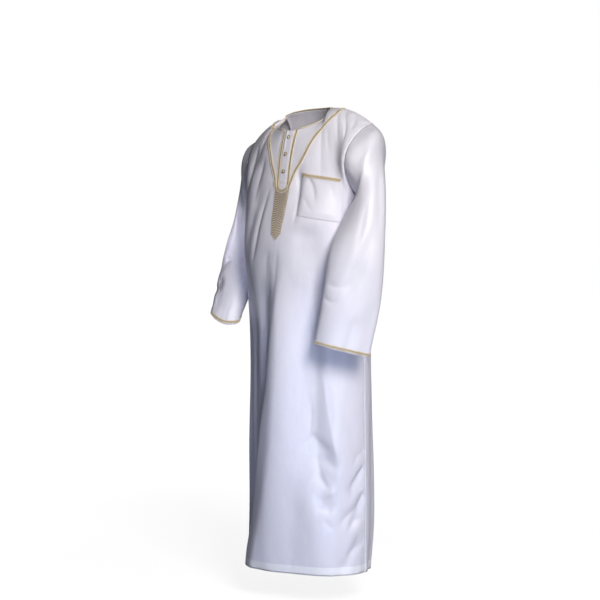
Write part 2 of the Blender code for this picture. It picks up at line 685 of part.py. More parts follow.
def build_yoke_braids(front):
    """The two braids from the shoulder seams to the end of the placket."""
    for name, hand in (("yoke_braid_left", LEFT), ("yoke_braid_right", RIGHT)):
        path = np.array(YOKE_BRAID) * [hand, 1, 1]
        lay(name, front, strip(front, path, BRAID_WIDTH / 2, 0.008, 3), lift=RAISED_GAP)


def build_pocket(front):
    """The patch pocket on the left of the chest, with a braid along its top."""
    corners = [np.array(side, float) for side in (POCKET_TOP, POCKET_BOTTOM)]
    rows = []
    for part in np.linspace(0, 1, 15):
        left, right = corners[0] + (corners[1] - corners[0]) * part
        rows.append([front.front(*(left + (right - left) * u)) for u in np.linspace(0, 1, 14)])
    pocket, facing = lay("chest_pocket", front, np.array(rows), lift=RAISED_GAP)
    top = Cloth(pocket + facing * (RAISED_GAP + TRIM), facing)
    depth = np.linalg.norm(corners[1][0] - corners[0][0])
    band = []
    for down in np.linspace(0.0005, 0.0005 + BRAID_WIDTH, 3) / depth:
        left, right = corners[0] + (corners[1] - corners[0]) * down
        run = np.linspace(0.004, 0.996, 21)
        band.append([top.front(*(left + (right - left) * u)) for u in run])
    lay("pocket_braid", top, np.array(band), thickness=0.001)


def build_buttons(face):
    """Three buttons on the placket's outer face."""
    for count, height in enumerate(BUTTON_HEIGHTS, 1):
        place = face.front(0.0, height)
        facing = face.facing(place[None])[0]
        build_button(f"button_{count}", place + facing * SEAM_GAP, facing)


def build_cuff_braid(name, grid, normals):
    """A braid round a sleeve just above its edge, on the last row of the sleeve's facets."""
    length = np.linalg.norm(grid[-1] - grid[-2], axis=1)[:, None]
    rows, facing = [], []
    for distance in CUFF_BRAID:
        part = distance / length
        rows.append(grid[-1] + (grid[-2] - grid[-1]) * part)
        facing.append(unit(normals[-1] + (normals[-2] - normals[-1]) * part))
    rows, facing = np.array(rows), np.array(facing)
    outer = rows + facing * (LAY_GAP + 0.001)
    wall_solid(name, outer, rows + facing * LAY_GAP, closed=True)


def main():
    for shape in list(bpy.data.objects):
        bpy.data.objects.remove(shape)
    panels = {face: folded_panel(face) for face in (FRONT, BACK)}
    for face, name in ((FRONT, "front_panel"), (BACK, "back_panel")):
        grid, normals = panels[face]
        wall_solid(name, grid, grid - normals * WALL)
    for side, ending in ((LEFT, "left"), (RIGHT, "right")):
        grid, normals = folded_sleeve(side, panels)
        wall_solid("sleeve_" + ending, grid, grid - normals * WALL, closed=True)
        build_cuff_braid("cuff_braid_" + ending, grid, normals)
    build_neck_trim(panels)
    front = Cloth(*panels[FRONT])
    build_buttons(build_placket(front))
    build_placket_braids(front)
    build_tie_panel(front)
    build_yoke_braids(front)
    build_pocket(front)


main()
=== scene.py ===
"""Looks of the worn thobe robe: its satin cloth, sewing, gold braids, tie panel and buttons.

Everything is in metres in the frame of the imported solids: +Z up, the chest faces -Y and the
wearer's left is +X. Each cloth piece is a thin shell on the form of its own solid, with finer
creases, seams and hems. The braids are woven grounds with real cords laid over them.
"""

import math

import bpy
import numpy as np
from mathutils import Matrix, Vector
from mathutils.bvhtree import BVHTree


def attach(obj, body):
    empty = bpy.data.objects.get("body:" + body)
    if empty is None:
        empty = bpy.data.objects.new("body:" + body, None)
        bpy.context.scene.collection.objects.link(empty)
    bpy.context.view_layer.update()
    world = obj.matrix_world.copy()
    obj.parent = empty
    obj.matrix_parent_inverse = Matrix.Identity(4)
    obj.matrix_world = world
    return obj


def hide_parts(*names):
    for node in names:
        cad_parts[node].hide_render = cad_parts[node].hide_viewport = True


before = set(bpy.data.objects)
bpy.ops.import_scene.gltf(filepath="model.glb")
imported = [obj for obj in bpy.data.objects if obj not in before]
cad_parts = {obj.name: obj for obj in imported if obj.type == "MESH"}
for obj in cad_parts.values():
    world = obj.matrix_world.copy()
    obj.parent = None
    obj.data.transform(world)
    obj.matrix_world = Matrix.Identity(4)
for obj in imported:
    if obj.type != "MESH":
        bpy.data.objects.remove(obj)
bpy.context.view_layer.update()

# ---- camera --------------------------------------------------------------------------------

IMAGE_SIDE = 600  # pixels
CAMERA_AZIMUTH = math.radians(35)
CAMERA_DISTANCE = 4.4
CAMERA_HEIGHT = -0.4546
CAMERA_FOCAL = 1397  # pixels
CAMERA_CENTRE = (308, 252)  # pixels


def placed(name, data):
    """A new object in the scene."""
    made = bpy.data.objects.new(name, data)
    bpy.context.collection.objects.link(made)
    return made


def place_camera():
    lens = bpy.data.cameras.new("studio_camera")
    lens.sensor_width = 36
    lens.lens = CAMERA_FOCAL / IMAGE_SIDE * lens.sensor_width
    lens.shift_x = (IMAGE_SIDE / 2 - CAMERA_CENTRE[0]) / IMAGE_SIDE
    lens.shift_y = (CAMERA_CENTRE[1] - IMAGE_SIDE / 2) / IMAGE_SIDE
    camera = placed("studio_camera", lens)
    camera.location = (
        math.sin(CAMERA_AZIMUTH) * CAMERA_DISTANCE,
        -math.cos(CAMERA_AZIMUTH) * CAMERA_DISTANCE,
        CAMERA_HEIGHT,
    )
    camera.rotation_euler = (math.pi / 2, 0, CAMERA_AZIMUTH)
    bpy.context.scene.camera = camera


place_camera()

# ---- curves --------------------------------------------------------------------------------

MM = 0.001


def through(knots, rows, slopes, at):
    """Cubic pieces through rows with given slopes, read at the places in at."""
    knots, at = np.asarray(knots, float), np.asarray(at, float)
    i = np.clip(np.searchsorted(knots, at, side="right") - 1, 0, len(knots) - 2)
    step = knots[i + 1] - knots[i]
    f = (at - knots[i]) / step
    shape = (slice(None),) + (None,) * (rows.ndim - 1)
    f, step = f[shape], step[shape]
    return (
        rows[i] * (1 + 2 * f) * (1 - f) ** 2
        + rows[i + 1] * f * f * (3 - 2 * f)
        + slopes[i] * step * f * (1 - f) ** 2
        - slopes[i + 1] * step * f * f * (1 - f)
    )


def smooth(knots, rows, at):
    """A smooth curve through table rows."""
    rows = np.asarray(rows, float)
    return through(knots, rows, np.gradient(rows, knots, axis=0), at)


def smooth_path(rows, count):
    """count points on a smooth path through rows."""
    return smooth(np.arange(len(rows)), rows, np.linspace(0, len(rows) - 1, count))


def ease(value):
    value = np.clip(value, 0.0, 1.0)
    return value * value * (3 - 2 * value)


def hump(away, reach):
    """1 in the middle, dying away to both sides over the given reach."""
    return np.exp(-((away / reach) ** 2))


def unit(vectors):
    return vectors / np.maximum(np.linalg.norm(vectors, axis=-1, keepdims=True), 1e-12)


def ripple(along, pitch, start):
    """An uneven wave of about the given pitch, between -1 and 1."""
    turns = 2 * math.pi * along / pitch
    parts = ((1.0, 0.50), (0.618, 0.30), (1.73, 0.20))
    return sum(share * np.sin(turns * rate + start * (3 + rate)) for rate, share in parts)


def puckers(kind, along, away, start):
    """Waves of a (height, pitch, reach) along a seam, dying away from it."""
    height, pitch, reach = kind
    return height * ripple(along, pitch, start) * np.exp(-away / reach)


def groove(kind, away):
    """A (depth, width) dent along a line."""
    depth, width = kind
    return depth * hump(away, width)


def run_length(path):
    """Distance along a path at each of its points."""
    return np.concatenate([[0], np.cumsum(np.linalg.norm(np.diff(path, axis=0), axis=1))])


def read_off(at, run, rows):
    """The rows of a path at the given distances along it."""
    return np.stack([np.interp(at, run, column) for column in np.transpose(rows)], axis=1)


def even_path(points, step, closed=False):
    """The same path at even steps."""
    if closed:
        points = np.concatenate([points, points[:1]])
    run = run_length(points)
    places = np.linspace(0, run[-1], max(3, round(run[-1] / step)) + 1)
    return read_off(places[:-1] if closed else places, run, points)


def heading(path, closed=False):
    """Unit direction onward along a path."""
    if closed:
        return unit(np.roll(path, -1, axis=0) - np.roll(path, 1, axis=0))
    return unit(np.gradient(path, axis=0))


# ---- form of the body ----------------------------------------------------------------------

HEM_HEIGHT = -1.435
ARMPIT_HEIGHT = -0.300
FRONT, BACK = -1, 1
LEFT, RIGHT = 1, -1
PANEL_REACH = 0.29  # sideways reach of half a panel, as the folds are measured
NECK_SHARE = 7 / 17  # share of half a panel that ends on the neckline
ARMHOLE_SHARE = 0.45  # share of half a panel that bends towards the armhole
UPPER_LENGTH = 0.28  # height from armpit to shoulder, for the slopes
EDGE_STEP = 2 / 34  # across the panel, how far in the direction beside the armhole is read

BODY_SECTIONS = (
    # height, half_width, front, back, squareness
    (-1.435, 0.213, 0.152, 0.150, 0.015),
    (-1.320, 0.214, 0.152, 0.190, 0.015),
    (-1.150, 0.214, 0.152, 0.192, 0.015),
    (-0.950, 0.212, 0.153, 0.170, 0.015),
    (-0.750, 0.211, 0.156, 0.152, 0.018),
    (-0.600, 0.212, 0.163, 0.149, 0.020),
    (-0.410, 0.207, 0.166, 0.143, 0.040),
    (-0.300, 0.205, 0.145, 0.137, 0.060),
)
PANEL_TOP = {
    FRONT: dict(
        neck=(0.0, -0.093, -0.078),
        leave_armhole=(-0.050, -0.300, -0.080),
        arrive_neck=(0.0, 0.100, 0.230),
        arrive_shoulder=(0.0, 0.310, 0.070),
        come_in=0.05,
        turn_over=(0.0, 0.5),
        fill=0.0,
    ),
    BACK: dict(
        neck=(0.0, 0.062, -0.002),
        leave_armhole=(-0.040, 0.260, -0.080),
        arrive_neck=(0.0, -0.150, 0.150),
        arrive_shoulder=(0.0, -0.250, 0.025),
        come_in=0.10,
        turn_over=(0.10, 0.50),
        fill=-0.09,
    ),
}
NECK_SIDE = {LEFT: (0.086, 0.002, -0.007), RIGHT: (0.097, 0.012, -0.027)}
SHOULDER_TIP = {LEFT: (0.226, 0.018, -0.060), RIGHT: (0.218, 0.050, -0.083)}
SHOULDER_CROWN = {LEFT: 0.016, RIGHT: 0.008}
ARMHOLE_SWING = {LEFT: -0.048, RIGHT: 0.096}
# The cloth stands a little fuller than the solids in front of each armhole: x, y, z, amount.
ARMHOLE_FILL = {LEFT: (0.222, -0.066, -0.180, 0.036), RIGHT: (-0.203, -0.042, -0.200, 0.005)}
FILL_REACH = (0.050, 0.070, 0.085)

SLEEVE_SECTIONS = {
    LEFT: (
        # along, x, y, z, out, fore, turn, tilt
        (0.035, 0.241, -0.004, -0.190, 0.106, 0.080, 8, 77),
        (0.110, 0.250, -0.028, -0.250, 0.086, 0.074, 14, 62),
        (0.200, 0.262, -0.068, -0.325, 0.078, 0.064, 22, 42),
        (0.320, 0.262, -0.108, -0.440, 0.080, 0.054, 31, 16),
        (0.465, 0.251, -0.129, -0.585, 0.0865, 0.046, 35, -4),
        (0.635, 0.226, -0.148, -0.749, 0.083, 0.037, 35, -14),
    ),
    RIGHT: (
        (0.035, 0.232, 0.050, -0.200, 0.098, 0.074, 4, 79),
        (0.110, 0.240, 0.054, -0.262, 0.080, 0.070, 4, 64),
        (0.210, 0.257, 0.053, -0.345, 0.065, 0.065, 6, 38),
        (0.330, 0.280, 0.030, -0.455, 0.061, 0.060, 14, 12),
        (0.450, 0.282, -0.014, -0.566, 0.062, 0.058, 24, 4),
        (0.575, 0.274, -0.072, -0.661, 0.058, 0.045, 30, 26),
    ),
}
SLEEVE_ROUND = 0.40  # mean distance round a sleeve
UNDERARM_SHARE = 1.6  # a higher power keeps the underarm's own direction to a shorter part
RING_CROWDING = 1.15  # a higher power puts more rings towards the cuff
SLEEVE_REACH = SLEEVE_ROUND / 360  # sideways measure of one degree round a sleeve


def body_ring(height, turns):
    """Points of one body section. Turn 0 is the wearer's left side, -90 degrees the centre front."""
    table = np.array(BODY_SECTIONS)
    half_width, front, back, squareness = smooth(table[:, 0], table[:, 1:], [height])[0]
    across, depth = np.cos(turns), np.sin(turns)
    swell = 1 + squareness * np.sin(2 * turns) ** 2
    y = np.where(depth < 0, front, back) * depth * swell
    return np.stack([half_width * across * swell, y, np.full_like(y, height)], axis=-1)


def panel_top(across, face):
    """Where the columns of a panel end, on the neckline or the shoulder seam."""
    size, hand = np.abs(across), np.where(across < 0, RIGHT, LEFT)
    neck = np.array(PANEL_TOP[face]["neck"])
    side, tip, crown = (
        np.array([table[h] for h in hand]) for table in (NECK_SIDE, SHOULDER_TIP, SHOULDER_CROWN)
    )
    bend = np.clip(size / NECK_SHARE, 0, 1)[:, None] * math.pi / 2
    fall = np.clip(np.cos(bend), 0, 1) ** [1.0, 1.0, 0.65]
    neckline = side + (neck - side) * fall
    neckline[:, :1] = side[:, :1] * np.sin(bend)
    run = np.clip((size - NECK_SHARE) / (1 - NECK_SHARE), 0, 1)[:, None]
    shoulder = side + (tip - side) * run + crown[:, None] * 4 * run * (1 - run) * [0, 0, 1]
    points = np.where(size[:, None] < NECK_SHARE, neckline, shoulder)
    points[:, 0] *= hand
    return points


def panel_grid(face, across, ups):
    """Outer face of a panel. ups run 0 at the hem, 1 at the armpit, 2 at the neck."""
    size = np.abs(across)
    turns = face * (math.pi / 2 - across * math.pi / 2)
    step_down = 0.01
    start = body_ring(ARMPIT_HEIGHT, turns)
    below = body_ring(ARMPIT_HEIGHT - step_down, turns)
    top = PANEL_TOP[face]
    edge = ease((size - 1 + ARMHOLE_SHARE) / ARMHOLE_SHARE)[:, None]
    mirror = np.where(across < 0, -1, 1)[:, None] * [1, 0, 0] + [0, 1, 1]
    leave = (start - below) / step_down * UPPER_LENGTH + edge * mirror * top["leave_armhole"]
    leave[:, 1] += edge[:, 0] * np.interp(across, [-1, 1], [ARMHOLE_SWING[RIGHT], ARMHOLE_SWING[LEFT]])
    start_turn, end_turn = top["turn_over"]
    shoulder = ease((size - start_turn) / (end_turn - start_turn))[:, None]
    arrive = (1 - shoulder) * top["arrive_neck"] + shoulder * top["arrive_shoulder"]
    beside_neck = ease(size / NECK_SHARE) * ease((1 - size) / 0.5)
    arrive[:, 0] -= np.sign(across) * top["come_in"] * beside_neck
    arrive[:, 1] += top["fill"] * hump(size - 0.45, 0.10)
    lower = [
        body_ring(HEM_HEIGHT + (ARMPIT_HEIGHT - HEM_HEIGHT) * up, turns) for up in ups[ups <= 1]
    ]
    ends, slopes = np.stack([start, panel_top(across, face)]), np.stack([leave, arrive])
    return np.concatenate([lower, through([0, 1], ends, slopes, ups[ups > 1] - 1)])


def outward(grid, hand, closed=False):
    """Outward unit normals of a grid. hand tells which way its columns run."""
    sideways = np.gradient(grid, axis=1)
    if closed:
        sideways = (np.roll(grid, -1, axis=1) - np.roll(grid, 1, axis=1)) / 2
    return unit(np.cross(sideways, np.gradient(grid, axis=0))) * hand


def sleeve_rings(side, angles):
    """Ring points of the table: angle 0 is the outer line, 90 degrees the front, 180 the underarm."""
    rings = []
    for _, x, y, z, out, fore, turn, tilt in SLEEVE_SECTIONS[side]:
        turn, tilt = math.radians(turn), math.radians(tilt)
        level = math.cos(tilt)
        outer_line = np.array([math.cos(turn) * level, math.sin(turn) * level, math.sin(tilt)])
        forward = np.array([math.sin(turn), -math.cos(turn), 0.0])
        points = (
            np.array([x, y, z])
            + out * np.cos(angles)[:, None] * outer_line
            + fore * np.sin(angles)[:, None] * forward
        )
        rings.append(points * [side, 1, 1])
    return np.array(rings)


def armhole(side, rows):
    """The armhole's seam from the shoulder tip down the front and up the back, and its way in."""
    across = side * np.array([1.0, 1.0 - EDGE_STEP])
    front, back = (panel_grid(face, across, np.linspace(1, 2, rows + 1)) for face in (FRONT, BACK))
    both = np.concatenate([front[::-1], back[1:-1]])
    return both[:, 0], both[:, 1] - both[:, 0]


def filled_out(points):
    """The points with the front of each armhole brought forward."""
    points = points.copy()
    for x, y, z, amount in ARMHOLE_FILL.values():
        apart = (points - [x, y, z]) / FILL_REACH
        points[..., 1] -= amount * np.exp(-(apart**2).sum(axis=-1))
    return points


# ---- folds and creases ---------------------------------------------------------------------

# A path runs over (sideways, height) points of the panel in millimetres, sideways positive to the
# wearer's left. On a sleeve it runs over (degrees round, millimetres along). The depth is out of
# the cloth when positive, the widths are its reach to each side, all in millimetres, and the
# fades are how much of each end dies away. A crease is sharper than a fold.
FOLD, CREASE = 2.0, 1.25
FRONT_FOLDS = (
    # *path, depth, width_right, width_left, fade_in, fade_out
    # the long ridge below the tie panel, with the hollow on its right side
    ((5, -420), (-20, -700), (-75, -1050), (-150, -1435), 10, 22, 60, 0.3, 0),
    ((-30, -400), (-60, -700), (-120, -1050), (-195, -1435), -12, 40, 30, 0.3, 0),
    # the diagonal pull from the chest to the right hip
    ((-60, -220), (-105, -340), (-140, -500), -6, 20, 20, 0.4, 0.5),
    # the hollows left of the pocket and down the chest
    ((50, -150), (45, -280), (25, -380), -5, 14, 16, 0.4, 0.5),
    ((115, -360), (120, -550), (110, -780), -5, 25, 28, 0.5, 0.5),
    ((190, -620), (175, -800), (165, -1020), -6, 24, 26, 0.5, 0.5),
    # the knee
    ((115, -1020), (150, -1090), (190, -1120), -7, 18, 26, 0.5, 0.4),
    ((105, -1170), (135, -1220), (175, -1240), -6, 16, 24, 0.5, 0.4),
    # drags to the left side seam
    ((275, -1130), (235, -1170), (205, -1220), -6, 12, 16, 0.2, 0.5),
    ((275, -1220), (235, -1270), (200, -1300), -7, 14, 18, 0.2, 0.5),
    ((270, -1310), (215, -1380), (180, -1435), -6, 16, 18, 0.2, 0.3),
    # soft hollows over the hem
    ((30, -1100), (50, -1270), (55, -1435), -6, 34, 30, 0.5, 0),
    ((-255, -800), (-262, -1100), (-268, -1435), 6, 20, 22, 0.5, 0),
    # broad folds of the cloth alone, a little beyond what the solids hold:
    # the drop on the right of the long ridge, and the flat front on its left
    ((-150, -440), (-162, -650), (-167, -850), (-172, -1050), (-200, -1435), -34, 55, 88, 0.35, 0.15),
    ((15, -480), (4, -800), (-14, -1050), (-46, -1250), (-85, -1435), 16, 38, 60, 0.25, 0),
    ((-78, -600), (-90, -950), (-122, -1200), (-155, -1350), 6, 30, 30, 0.4, 0.3),
    ((-60, -500), (-68, -800), (-90, -1000), -10, 30, 22, 0.3, 0.5),
    # the long hollow below the left cuff and the ridge beside it
    (
        (94, -460), (100, -580), (107, -700), (106, -840), (104, -980), (110, -1100), (124, -1220),
        -14, 75, 28, 0.22, 0.2,
    ),
    ((166, -760), (169, -900), (171, -1020), (177, -1120), (187, -1220), 11, 22, 38, 0.3, 0.4),
    ((112, -1060), (122, -1120), (150, -1190), -5, 16, 26, 0.3, 0.4),
    # from the pocket's foot to the left cuff
    ((85, -360), (90, -450), (85, -560), -12, 40, 45, 0.3, 0.5),
    # the right side of the chest
    ((-120, -100), (-150, -200), (-180, -300), -5, 18, 18, 0.4, 0.5),
    ((-150, -420), (-165, -600), (-175, -800), -6, 22, 22, 0.4, 0.5),
    ((-215, -550), (-225, -850), (-235, -1250), -6, 18, 20, 0.4, 0.3),
)
FRONT_CREASES = (
    # below the tie panel's point
    ((1, -440), (-5, -518), (-15, -590), (-24, -670), (-34, -770), -4.8, 18, 10, 0.2, 0.5),
    ((-29, -440), (-41, -492), (-48, -560), -3, 14, 12, 0.4, 0.4),
    ((-46, -566), (-34, -578), (-22, -579), -1.6, 10, 10, 0.5, 0.5),
    # the diagonal pull below the right braid
    ((-42, -238), (-67, -334), (-85, -440), (-104, -501), -7, 12, 7, 0.3, 0.5),
    ((-70, -150), (-92, -215), (-115, -330), -8, 16, 13, 0.4, 0.5),
    ((-145, -100), (-160, -190), (-175, -280), -6, 14, 14, 0.3, 0.5),
    # beside the pocket
    ((46, -195), (52, -262), (51, -330), (48, -385), -6.5, 5, 6, 0.2, 0.4),
    ((215, -240), (225, -330), (215, -420), -3, 12, 12, 0.4, 0.5),
    # gathers below the left shoulder seam
    ((186, -4), (205, -40), (230, -85), (244, -135), -5, 9, 8, 0.15, 0.4),
    ((223, -22), (250, -56), (264, -90), -4.5, 7, 7, 0.2, 0.4),
    ((165, -10), (178, -70), (190, -140), -3.5, 10, 10, 0.2, 0.6),
    ((140, -60), (142, -120), (150, -190), -2.5, 10, 10, 0.3, 0.5),
    # long soft troughs of the skirt
    ((91, -600), (92, -706), (88, -811), -3.5, 16, 18, 0.5, 0.5),
    ((93, -900), (92, -960), (86, -1030), -2.5, 6, 7, 0.4, 0.4),
    # the knee
    ((88, -1004), (108, -1023), (166, -1078), -5.5, 34, 13, 0.3, 0.25),
    ((100, -1125), (128, -1150), (158, -1182), -5.5, 30, 13, 0.3, 0.3),
    ((108, -1226), (132, -1237), (158, -1241), -4, 7, 8, 0.3, 0.4),
    ((128, -1262), (146, -1285), (158, -1300), -2.5, 7, 9, 0.3, 0.4),
    ((122, -800), (131, -846), (143, -939), (158, -1030), (170, -1085), 4.5, 40, 10, 0.25, 0.15),
    ((112, -1050), (128, -1120), (150, -1170), (158, -1195), 3.5, 30, 10, 0.3, 0.15),
    ((98, -1165), (110, -1220), (118, -1265), -2.5, 18, 18, 0.4, 0.4),
    # drags from the left side seam
    ((286, -1060), (246, -1078), (218, -1120), -3.5, 10, 12, 0.1, 0.5),
    ((286, -1112), (240, -1146), (196, -1195), -7.5, 12, 13, 0.1, 0.4),
    ((286, -1160), (262, -1172), (232, -1196), -3.5, 6, 7, 0.1, 0.5),
    ((286, -1190), (248, -1232), (200, -1262), (168, -1312), -9.5, 16, 18, 0.1, 0.4),
    ((286, -1262), (235, -1277), (190, -1322), -5.5, 8, 10, 0.1, 0.5),
    ((286, -1336), (227, -1364), (200, -1385), -4.5, 8, 9, 0.1, 0.5),
)
BACK_FOLDS = (
    ((30, -300), (55, -750), (75, -1435), -13, 34, 26, 0.4, 0),
    ((-70, -360), (-85, -850), (-110, -1435), -12, 26, 36, 0.4, 0),
    ((150, -420), (165, -900), (180, -1435), -11, 30, 24, 0.5, 0),
    ((-170, -500), (-190, -950), (-205, -1435), -10, 24, 30, 0.5, 0),
    ((-20, -550), (-15, -950), (-25, -1435), 8, 24, 28, 0.5, 0),
    ((225, -850), (235, -1100), (240, -1435), -6, 18, 18, 0.5, 0),
    ((120, -90), (100, -170), (60, -270), -5, 18, 22, 0.4, 0.5),
    ((-125, -100), (-110, -190), (-70, -280), -6, 22, 18, 0.4, 0.5),
)
BACK_CREASES = (
    ((190, -150), (160, -230), (110, -290), -3.5, 10, 10, 0.3, 0.5),
    ((215, -230), (180, -290), (130, -330), -3.5, 9, 11, 0.3, 0.5),
    ((-200, -160), (-165, -250), (-120, -300), -3.5, 11, 9, 0.3, 0.5),
    ((-220, -260), (-180, -320), (-140, -350), -3, 10, 10, 0.3, 0.5),
    ((95, -600), (110, -850), (118, -1100), -4, 12, 12, 0.4, 0.5),
    ((-130, -700), (-140, -980), (-155, -1250), -4, 12, 12, 0.4, 0.4),
    ((10, -900), (5, -1150), (15, -1435), -3.5, 12, 12, 0.4, 0),
    ((276, -760), (235, -800), (205, -860), -3.5, 8, 9, 0.1, 0.5),
    ((-278, -900), (-240, -930), (-215, -990), -3.5, 8, 9, 0.1, 0.5),
    ((40, -500), (10, -560), (-30, -590), -3, 10, 10, 0.4, 0.5),
)
SLEEVE_FOLDS = {
    LEFT: (
        ((20, 90), (35, 220), (40, 360), -7, 20, 22, 0.4, 0.5),
        ((100, 360), (70, 420), (30, 430), -3.2, 18, 24, 0.2, 0.5),
        ((115, 410), (85, 470), (50, 500), -2.8, 18, 22, 0.2, 0.5),
        ((45, 420), (40, 520), (42, 640), -6, 22, 26, 0.5, 0),
        ((-60, 120), (-75, 280), (-70, 450), -6, 22, 20, 0.4, 0.5),
        ((190, 380), (220, 440), (260, 470), -6, 18, 18, 0.4, 0.5),
        ((215, 450), (225, 550), (222, 640), 5, 24, 22, 0.5, 0),
        ((150, 80), (166, 150), (178, 250), (180, 360), (180, 520), 19, 45, 45, 0.2, 0.5),
        ((50, 250), (72, 340), (95, 420), (115, 460), -6, 18, 18, 0.4, 0.4),
        ((60, 500), (72, 560), (76, 640), -4, 18, 20, 0.5, 0),
        ((-10, 280), (-40, 360), (-75, 400), -5, 18, 18, 0.4, 0.4),
    ),
    RIGHT: (
        ((15, 80), (30, 200), (55, 310), -6, 18, 20, 0.4, 0.5),
        ((110, 340), (75, 380), (35, 400), -6, 16, 16, 0.2, 0.5),
        ((100, 410), (70, 460), (20, 470), -5, 14, 18, 0.2, 0.5),
        ((120, 420), (128, 500), (130, 580), -5, 20, 22, 0.5, 0),
        ((-70, 140), (-60, 270), (-75, 400), -6, 20, 22, 0.4, 0.5),
        ((200, 340), (235, 400), (270, 420), -6, 18, 16, 0.4, 0.5),
        ((70, 120), (95, 200), (120, 300), -6, 18, 18, 0.4, 0.4),
        ((80, 400), (100, 480), (105, 560), -4, 16, 18, 0.4, 0.3),
        ((-20, 220), (-50, 300), (-90, 340), -5, 18, 18, 0.4, 0.4),
    ),
}
SLEEVE_CREASES = {
    LEFT: (
        ((50, 35), (80, 30), (112, 13), -3, 7, 7, 0.3, 0.4),
        ((49, 50), (84, 40), (120, 22), -3, 7, 7, 0.3, 0.4),
        ((170, 470), (136, 490), (110, 478), -3.5, 8, 8, 0.2, 0.5),
        ((160, 420), (130, 440), (95, 430), -3, 9, 9, 0.3, 0.5),
        ((75, 180), (88, 260), (92, 350), -3, 12, 12, 0.4, 0.5),
        ((-20, 330), (-50, 380), (-85, 390), -3.5, 9, 9, 0.3, 0.5),
        ((-30, 410), (-60, 450), (-100, 450), -3.5, 9, 10, 0.3, 0.5),
        ((85, 520), (80, 580), (84, 635), -3, 10, 12, 0.4, 0),
        ((-95, 500), (-100, 570), (-96, 635), -3, 10, 12, 0.4, 0),
    ),
    RIGHT: (
        ((172, 422), (150, 416), (124, 399), -3.5, 8, 8, 0.2, 0.5),
        ((165, 380), (140, 372), (110, 350), -3, 8, 9, 0.3, 0.5),
        ((98, 60), (108, 150), (118, 250), -3.5, 12, 12, 0.4, 0.5),
        ((60, 100), (75, 180), (92, 240), -3, 10, 10, 0.4, 0.5),
        ((-25, 300), (-55, 345), (-90, 355), -3.5, 9, 9, 0.3, 0.5),
        ((-30, 375), (-65, 410), (-100, 410), -3.5, 9, 9, 0.3, 0.5),
        ((150, 480), (146, 530), (150, 575), -2.5, 10, 10, 0.4, 0),
    ),
}
FOLDS = {FRONT: FRONT_FOLDS, BACK: BACK_FOLDS}
CREASES = {FRONT: FRONT_CREASES, BACK: BACK_CREASES}
PATH_FINENESS = 13  # points on the path of a fold


def fold_height(folds, u, v, sharpness=FOLD, scale=(MM, MM)):
    """Height of all the folds at the places (u, v)."""
    total = np.zeros(u.shape)
    for *path, depth, width_right, width_left, fade_in, fade_out in folds:
        run = smooth_path(np.array(path) * scale, PATH_FINENESS)
        nearest = np.full(u.shape, np.inf)
        sideways, done = np.zeros(u.shape), np.zeros(u.shape)
        for k, ((au, av), (du, dv)) in enumerate(zip(run, np.diff(run, axis=0))):
            part = np.clip(((u - au) * du + (v - av) * dv) / (du * du + dv * dv), 0, 1)
            off_u, off_v = u - au - part * du, v - av - part * dv
            distance = np.hypot(off_u, off_v)
            closer = distance < nearest
            nearest = np.where(closer, distance, nearest)
            sideways = np.where(closer, np.sign(off_u), sideways)
            done = np.where(closer, (k + part) / (len(run) - 1), done)
        width = np.where(sideways < 0, width_right, width_left) * MM
        rise = depth * MM * np.exp(-((nearest / width) ** sharpness))
        if fade_in:
            rise *= ease(done / fade_in)
        if fade_out:
            rise *= ease((1 - done) / fade_out)
        total += rise
    return total


# ---- finishes ------------------------------------------------------------------------------

RGBA_A, RGBA_B, RGBA_OUT = 6, 7, 2  # colour sockets of the Mix node


def srgb(code):
    """A hex colour as linear RGBA."""
    parts = [int(code[i : i + 2], 16) / 255 for i in (1, 3, 5)]
    return (*(c / 12.92 if c <= 0.04045 else ((c + 0.055) / 1.055) ** 2.4 for c in parts), 1.0)


def add(tree, kind, settings=None, links=None):
    """Add a node with its settings and links. A name that isn't a property is an input."""
    made = tree.nodes.new("ShaderNode" + kind)
    for name, value in (settings or {}).items():
        if isinstance(name, str) and hasattr(made, name):
            setattr(made, name, value)
        else:
            made.inputs[name].default_value = value
    for name, source in (links or {}).items():
        tree.links.new(source, made.inputs[name])
    return made


def new_finish(name):
    finish = bpy.data.materials.new(name)
    finish.use_nodes = True
    finish.node_tree.nodes.clear()
    return finish, finish.node_tree


def noise(tree, place, scale, **settings):
    """Noise at a place. A scale of three numbers stretches the place first."""
    if isinstance(scale, tuple):
        place = add(tree, "Mapping", {"Scale": scale}, {"Vector": place}).outputs[0]
        scale = 1.0
    return add(tree, "TexNoise", {"Scale": scale, **settings}, {"Vector": place}).outputs["Fac"]


def blend(tree, low, high, share):
    """A colour between two hex colours."""
    colours = {"data_type": "RGBA", RGBA_A: srgb(low), RGBA_B: srgb(high)}
    return add(tree, "Mix", colours, {0: share}).outputs[RGBA_OUT]


def span(tree, value, start, end, low=0.0, high=1.0):
    """A value's place between start and end, as a number from low to high."""
    reach = {"From Min": start, "From Max": end, "To Min": low, "To Max": high}
    return add(tree, "MapRange", reach, {"Value": value}).outputs[0]


def relief(tree, height, strength, distance, under=None):
    """Fine relief, on top of another where one is given."""
    links = {"Height": height} if under is None else {"Height": height, "Normal": under}
    return add(tree, "Bump", {"Strength": strength, "Distance": distance}, links).outputs[0]


def finish_off(tree, settings, links):
    """The shader of a finish and its output."""
    shader = add(tree, "BsdfPrincipled", settings, links)
    add(tree, "OutputMaterial", {}, {"Surface": shader.outputs["BSDF"]})


